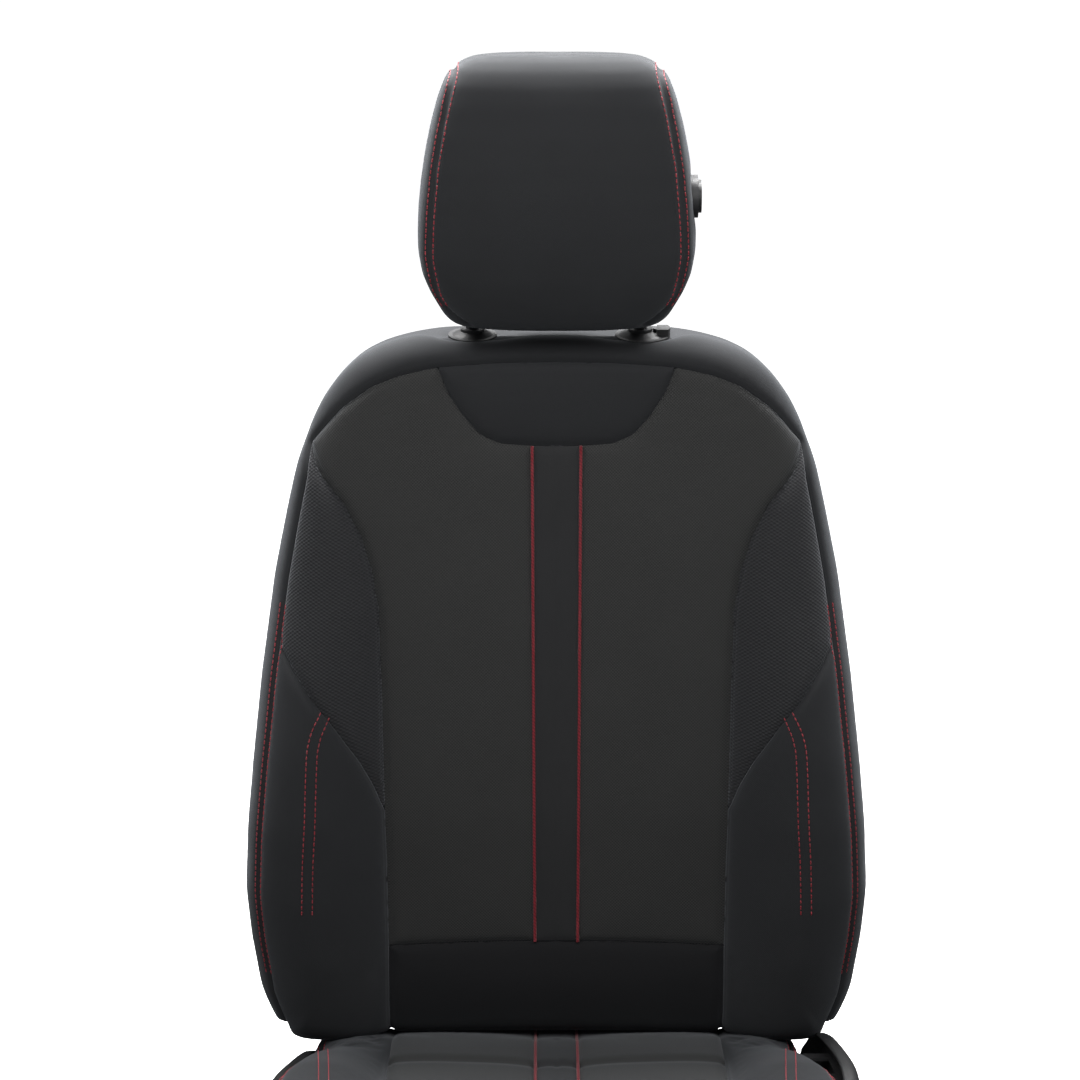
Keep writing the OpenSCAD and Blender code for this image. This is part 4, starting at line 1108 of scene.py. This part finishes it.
front, corner = cushion.share_near((0, -391)), cushion.share_near((212, 138))
if corner <= front:
    corner += 1.0
border_right = cushion.edge(front, corner, BORDER)
border_low = cushion.edge(front, corner, seat_wall_end)
seat_seam_line = np.array([(SEAT_SEAM, y) for y in np.linspace(SEAT_BACK, -420, 200)])
meets = int(np.abs(border_right[:, 0] - SEAT_SEAM).argmin())
seat_seam_line = seat_seam_line[seat_seam_line[:, 1] > border_right[meets, 1] + 1.0]
stripe_front = np.interp(SEAT_STRIPE, border_right[:meets + 1, 0], border_right[:meets + 1, 1])
seat_stripe = np.array([(SEAT_STRIPE, y) for y in np.linspace(SEAT_BACK, stripe_front, 120)])
beside_stripe = int(np.abs(border_right[:, 0] - SEAT_STRIPE).argmin())
seat_middle = join(seat_stripe, border_right[beside_stripe + 1:meets + 1], seat_seam_line[::-1])
seat_channel = join(seat_stripe, border_right[:beside_stripe][::-1], (border_right[:beside_stripe] * MIRROR)[1:],
                    (seat_stripe * MIRROR)[::-1])
thigh_panel = join(seat_seam_line, border_right[meets:])
border_panel = join(border_low, border_right[::-1], (border_right * MIRROR)[1:], (border_low * MIRROR)[::-1][:-1])
crease = [([(-150, 21), (150, 21)], 3.0, 7.0)]

# %%
SEAT = dict(body="cushion_frame")
sew_panel("cushion_middle_right", cushion, seat_middle, diamond_weave, "cushion_centre_pad", "weave", dents=crease,
          **SEAT)
sew_panel("cushion_middle_left", cushion, seat_middle * MIRROR, diamond_weave, slot="weave", dents=crease, **SEAT)
seat_crease = ([(0, 96), (0, -380)], 1.2, 3.0)
sew_panel("cushion_channel", cushion, seat_channel, channel_cloth, dents=crease + [seat_crease], **CHANNEL, **SEAT)
# The thigh bolsters and the border wear the deep cloth, whose dark tone is partly dye and partly painted shade.
sew_panel("cushion_thigh_right", cushion, thigh_panel, deep_dye_and_shade_cloth, "cushion_bolster_right", cap=3.5, **SEAT)
sew_panel("cushion_thigh_left", cushion, thigh_panel * MIRROR, deep_dye_and_shade_cloth, "cushion_bolster_left", cap=3.5, **SEAT)
sew_panel("cushion_border", cushion, border_panel, deep_dye_and_shade_cloth, step=4.4, **SEAT)
thigh_line = cushion.flat(np.array([(205 + 8 * math.sin((y + 40) / 130), y) for y in np.linspace(20, -300, 80)]))
rows = []
for turn in (1.0, -1.0):
    for gap in (-4.2, 4.2):
        for line in (thigh_line, border_right[10:]):
            rows.append(drop_on_cloth(cushion, beside(line, gap) * [turn, 1.0], STITCH_LIFT))
line_piece("cushion_stitches", rows, stitch_tree, "cushion_frame", **STITCH)
cords = [drop_on_cloth(cushion, seat_stripe * [turn, 1.0], CORD_LIFT) for turn in (1.0, -1.0)]
line_piece("cushion_red_cords", cords, cord_tree, "cushion_frame", **CORD)

# %% [markdown]
# ## Metal and plastic
# The frame's parts keep their exact shapes and get real finishes. Pressed steel is dipped in
# black paint, which settles with a faint orange peel. Links, springs and screws are zinc
# plated, with a slightly patchy grey. Trims are moulded plastic with a fine leather grain,
# paler where hands and heels rub. The posts are smooth dark steel with brushed lines.

# %%
def paint_recipe(graph):
    where = graph.object_place()
    peel = graph.noise(where, 900.0, 2.0)
    dust = graph.noise(where, 12.0, 5.0, 0.6)
    color = graph.mix(dust, (0.010, 0.010, 0.011), (0.030, 0.030, 0.032))
    return {"Base Color": color, "Normal": graph.bump(peel, 0.25, 0.0004),
            "Roughness": graph.math("MULTIPLY_ADD", dust, 0.25, 0.28)}


def zinc_recipe(graph):
    where = graph.object_place()
    patch = graph.noise(where, 60.0, 6.0, 0.65)
    cells = graph.add("ShaderNodeTexVoronoi", None, 0, Vector=where, Scale=320.0)
    color = graph.ramp(graph.math("MULTIPLY_ADD", cells, 0.3, patch),
                       [(0.35, (0.30, 0.31, 0.32)), (0.75, (0.56, 0.56, 0.54))])
    return {"Base Color": color, "Normal": graph.bump(cells, 0.12, 0.0003),
            "Roughness": graph.math("MULTIPLY_ADD", patch, 0.3, 0.22)}


def plastic_recipe(base, pale, cell):
    def recipe(graph):
        where = graph.object_place()
        stray = graph.add("ShaderNodeVectorMath", {"operation": "SCALE"}, 0,
                          i0=graph.noise(where, 500.0, 2.0, 0.5, 1), Scale=0.0006)
        soft = graph.add("ShaderNodeVectorMath", {"operation": "ADD"}, 0, i0=where, i1=stray)
        grain = graph.add("ShaderNodeTexVoronoi", {"feature": "DISTANCE_TO_EDGE"}, 0, Vector=soft, Scale=1.0 / cell)
        valley = graph.math("MINIMUM", grain, 0.16)
        rub = graph.noise(where, 16.0, 5.0, 0.6)
        edge = graph.add("ShaderNodeNewGeometry", None, 7)
        sharp = graph.math("MAXIMUM", graph.math("SUBTRACT", edge, 0.5), 0.0)
        worn = graph.math("ADD", graph.math("MULTIPLY", sharp, 1.6), graph.math("MULTIPLY", rub, 0.5))
        return {"Base Color": graph.mix(worn, base, pale), "Normal": graph.bump(valley, 0.5, 0.0005),
                "Roughness": graph.math("MULTIPLY_ADD", rub, -0.2, 0.62)}
    return recipe


def post_recipe(graph):
    where = graph.object_place()
    fine = graph.add("ShaderNodeMapping", None, 0, Vector=where, Scale=(1.0, 1.0, 0.02))
    lines = graph.noise(fine, 2600.0, 2.0)
    color = graph.mix(lines, (0.09, 0.09, 0.095), (0.16, 0.16, 0.165))
    return {"Base Color": color, "Normal": graph.bump(lines, 0.08, 0.0001),
            "Roughness": graph.math("MULTIPLY_ADD", lines, 0.15, 0.14)}


trim_recipe = plastic_recipe((0.020, 0.020, 0.021), (0.052, 0.052, 0.054), 0.0016)
button_recipe = plastic_recipe((0.012, 0.012, 0.013), (0.040, 0.040, 0.042), 0.0009)
finishes = {
    "rail_steel": new_material("dipped_black_paint", paint_recipe, Metallic=0.0, Coat_Weight=0.25,
                               Coat_Roughness=0.25),
    "black_tube": new_material("black_tube_paint", paint_recipe, Metallic=0.0, Coat_Weight=0.5,
                               Coat_Roughness=0.15),
    "zinc_steel": new_material("zinc_plate", zinc_recipe, Metallic=1.0),
    "trim_plastic": new_material("grained_trim", trim_recipe, Specular_IOR_Level=0.4),
    "headrest_plastic": new_material("satin_button_plastic", button_recipe, Specular_IOR_Level=0.5),
    "post_steel": new_material("dark_post_steel", post_recipe, Metallic=1.0),
    "weave": diamond_weave,
    "knit": loop_knit,
}
dressed = 0
for node_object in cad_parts.values():
    for holder in node_object.material_slots:
        holder.material = finishes[holder.material.name.split(".")[0]]
        dressed += 1
print("dressed", dressed, "frame parts")

# %% [markdown]
# ## The moulded side trims
# Each side of the frame is closed by a moulded cover. A mould gives soft edges and a face that
# turns in towards the backrest, so the covers are made as forms as well: the plan is the side
# view, and the height is measured outwards. The outer one has a shallow dished field behind
# the two levers, and a ridge that rises beside the small ledge with its window.

# %%
cover_turn = [(-340, 0), (10, 0), (20, 0.4), (45, 3), (71, 9.5), (95, 17), (116, 24), (132, 31), (150, 38)]
read_turn = table(cover_turn)
cover_low = [(-318, 150), (-300, 120), (-200, 104), (60, 104), (118, 118), (130, 150), (130, 240)]
outer_top = [(118, 251), (112, 262), (104, 270), (94, 272), (20, 272), (-30, 263), (-80, 250), (-180, 240),
             (-280, 222), (-318, 196)]
inner_top = [(118, 243), (90, 246), (60, 250), (-60, 250), (-180, 240), (-280, 222), (-318, 196)]
LEVER_FIELD = [(-255, 168), (90, 168), (96, 176), (96, 206), (84, 218), (-60, 216), (-246, 204), (-258, 192),
               (-260, 176)]
TRIM_WALL = 2.4


def sunk(field, a, b, blend):
    """One inside a field, nought outside it, with a soft step between."""
    points = np.column_stack([np.ravel(a), np.ravel(b)])
    gap = nearest_on(field, points)[2] * np.where(inside(field, points), 1.0, -1.0)
    return 0.5 + 0.5 * np.tanh(gap.reshape(np.shape(a)) / blend)


def cover_form(face, top, dish):
    field = resample(smooth_line(LEVER_FIELD + LEVER_FIELD[:1], 4.0, 6)[:-1], 3.0)

    def height(y, z):
        out = face - 0.4 - read_turn(y)
        return out - dish * sunk(field, y, z, 2.5) if dish else out

    return Form(cover_low + top, lambda y, z: np.full(len(y), 9.0), height,
                lambda y, z, x: np.column_stack([x, y, z]), 0.0)


def make_shell(name, form, body, node, step=4.2, side=1):
    """A moulded skin over a form: its face, its soft edge and a short wall behind the edge."""
    loop = form.edge(0.0, 1.0, lambda share, spot, radius: -(math.pi / 2 - 1) * radius - 7.0)[:-1]
    flat, faces, rim = fill(loop, step, [2.0])
    places, out = form.surface(flat)
    if side < 0:
        places, out, faces = places * [-1, 1, 1], out * [-1, 1, 1], faces[:, ::-1]
    corners, shell = close_shell(places, places - out * TRIM_WALL * MM, faces)
    piece = new_piece(name, corners, shell, finishes["trim_plastic"], flat)
    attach(piece, body)
    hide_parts(node)
    print(name, len(faces), "triangles")


make_shell("side_trim_outer", cover_form(272.0, outer_top, 1.6), "cushion_frame", "side_cover_outer")
make_shell("side_trim_inner", cover_form(264.0, inner_top, 0.0), "cushion_frame", "side_cover_inner", side=-1)

# %% [markdown]
# ## The back shell
# The backrest is closed from behind by one large moulding. Its outline follows the cloth rim a
# little inside it, and its lower corners are cut away around the recliners. A broad shallow
# field stiffens the moulding and leaves room for a passenger's knees.

# %%
KNEE_FIELD = [(-150, 60), (150, 60), (186, 110), (192, 200), (182, 330), (160, 430), (120, 480), (-120, 480),
              (-160, 430), (-182, 330), (-192, 200), (-186, 110)]
shell_edge = [(0, -34), (172, -34), (172, 34), (255, 40)] + [(x - 15, s) for s, x in half_width[2:12]]
shell_edge += [(176, 598), (160, 612), (134, 621), (90, 626), (0, 627)]
knee_line = resample(smooth_line(KNEE_FIELD + KNEE_FIELD[:1], 6.0, 8)[:-1], 5.0)


back_shell = Form(shell_edge + mirror_line(shell_edge[1:-1]), lambda x, s: np.full(len(x), 11.0),
                  lambda x, s: 65.0 - 3.2 * sunk(knee_line, x, s, 5.0),
                  lambda x, s, depth: on_backrest(-x, s, -depth), 0.0)
make_shell("backrest_shell", back_shell, "backrest", "back_panel", step=5.0)
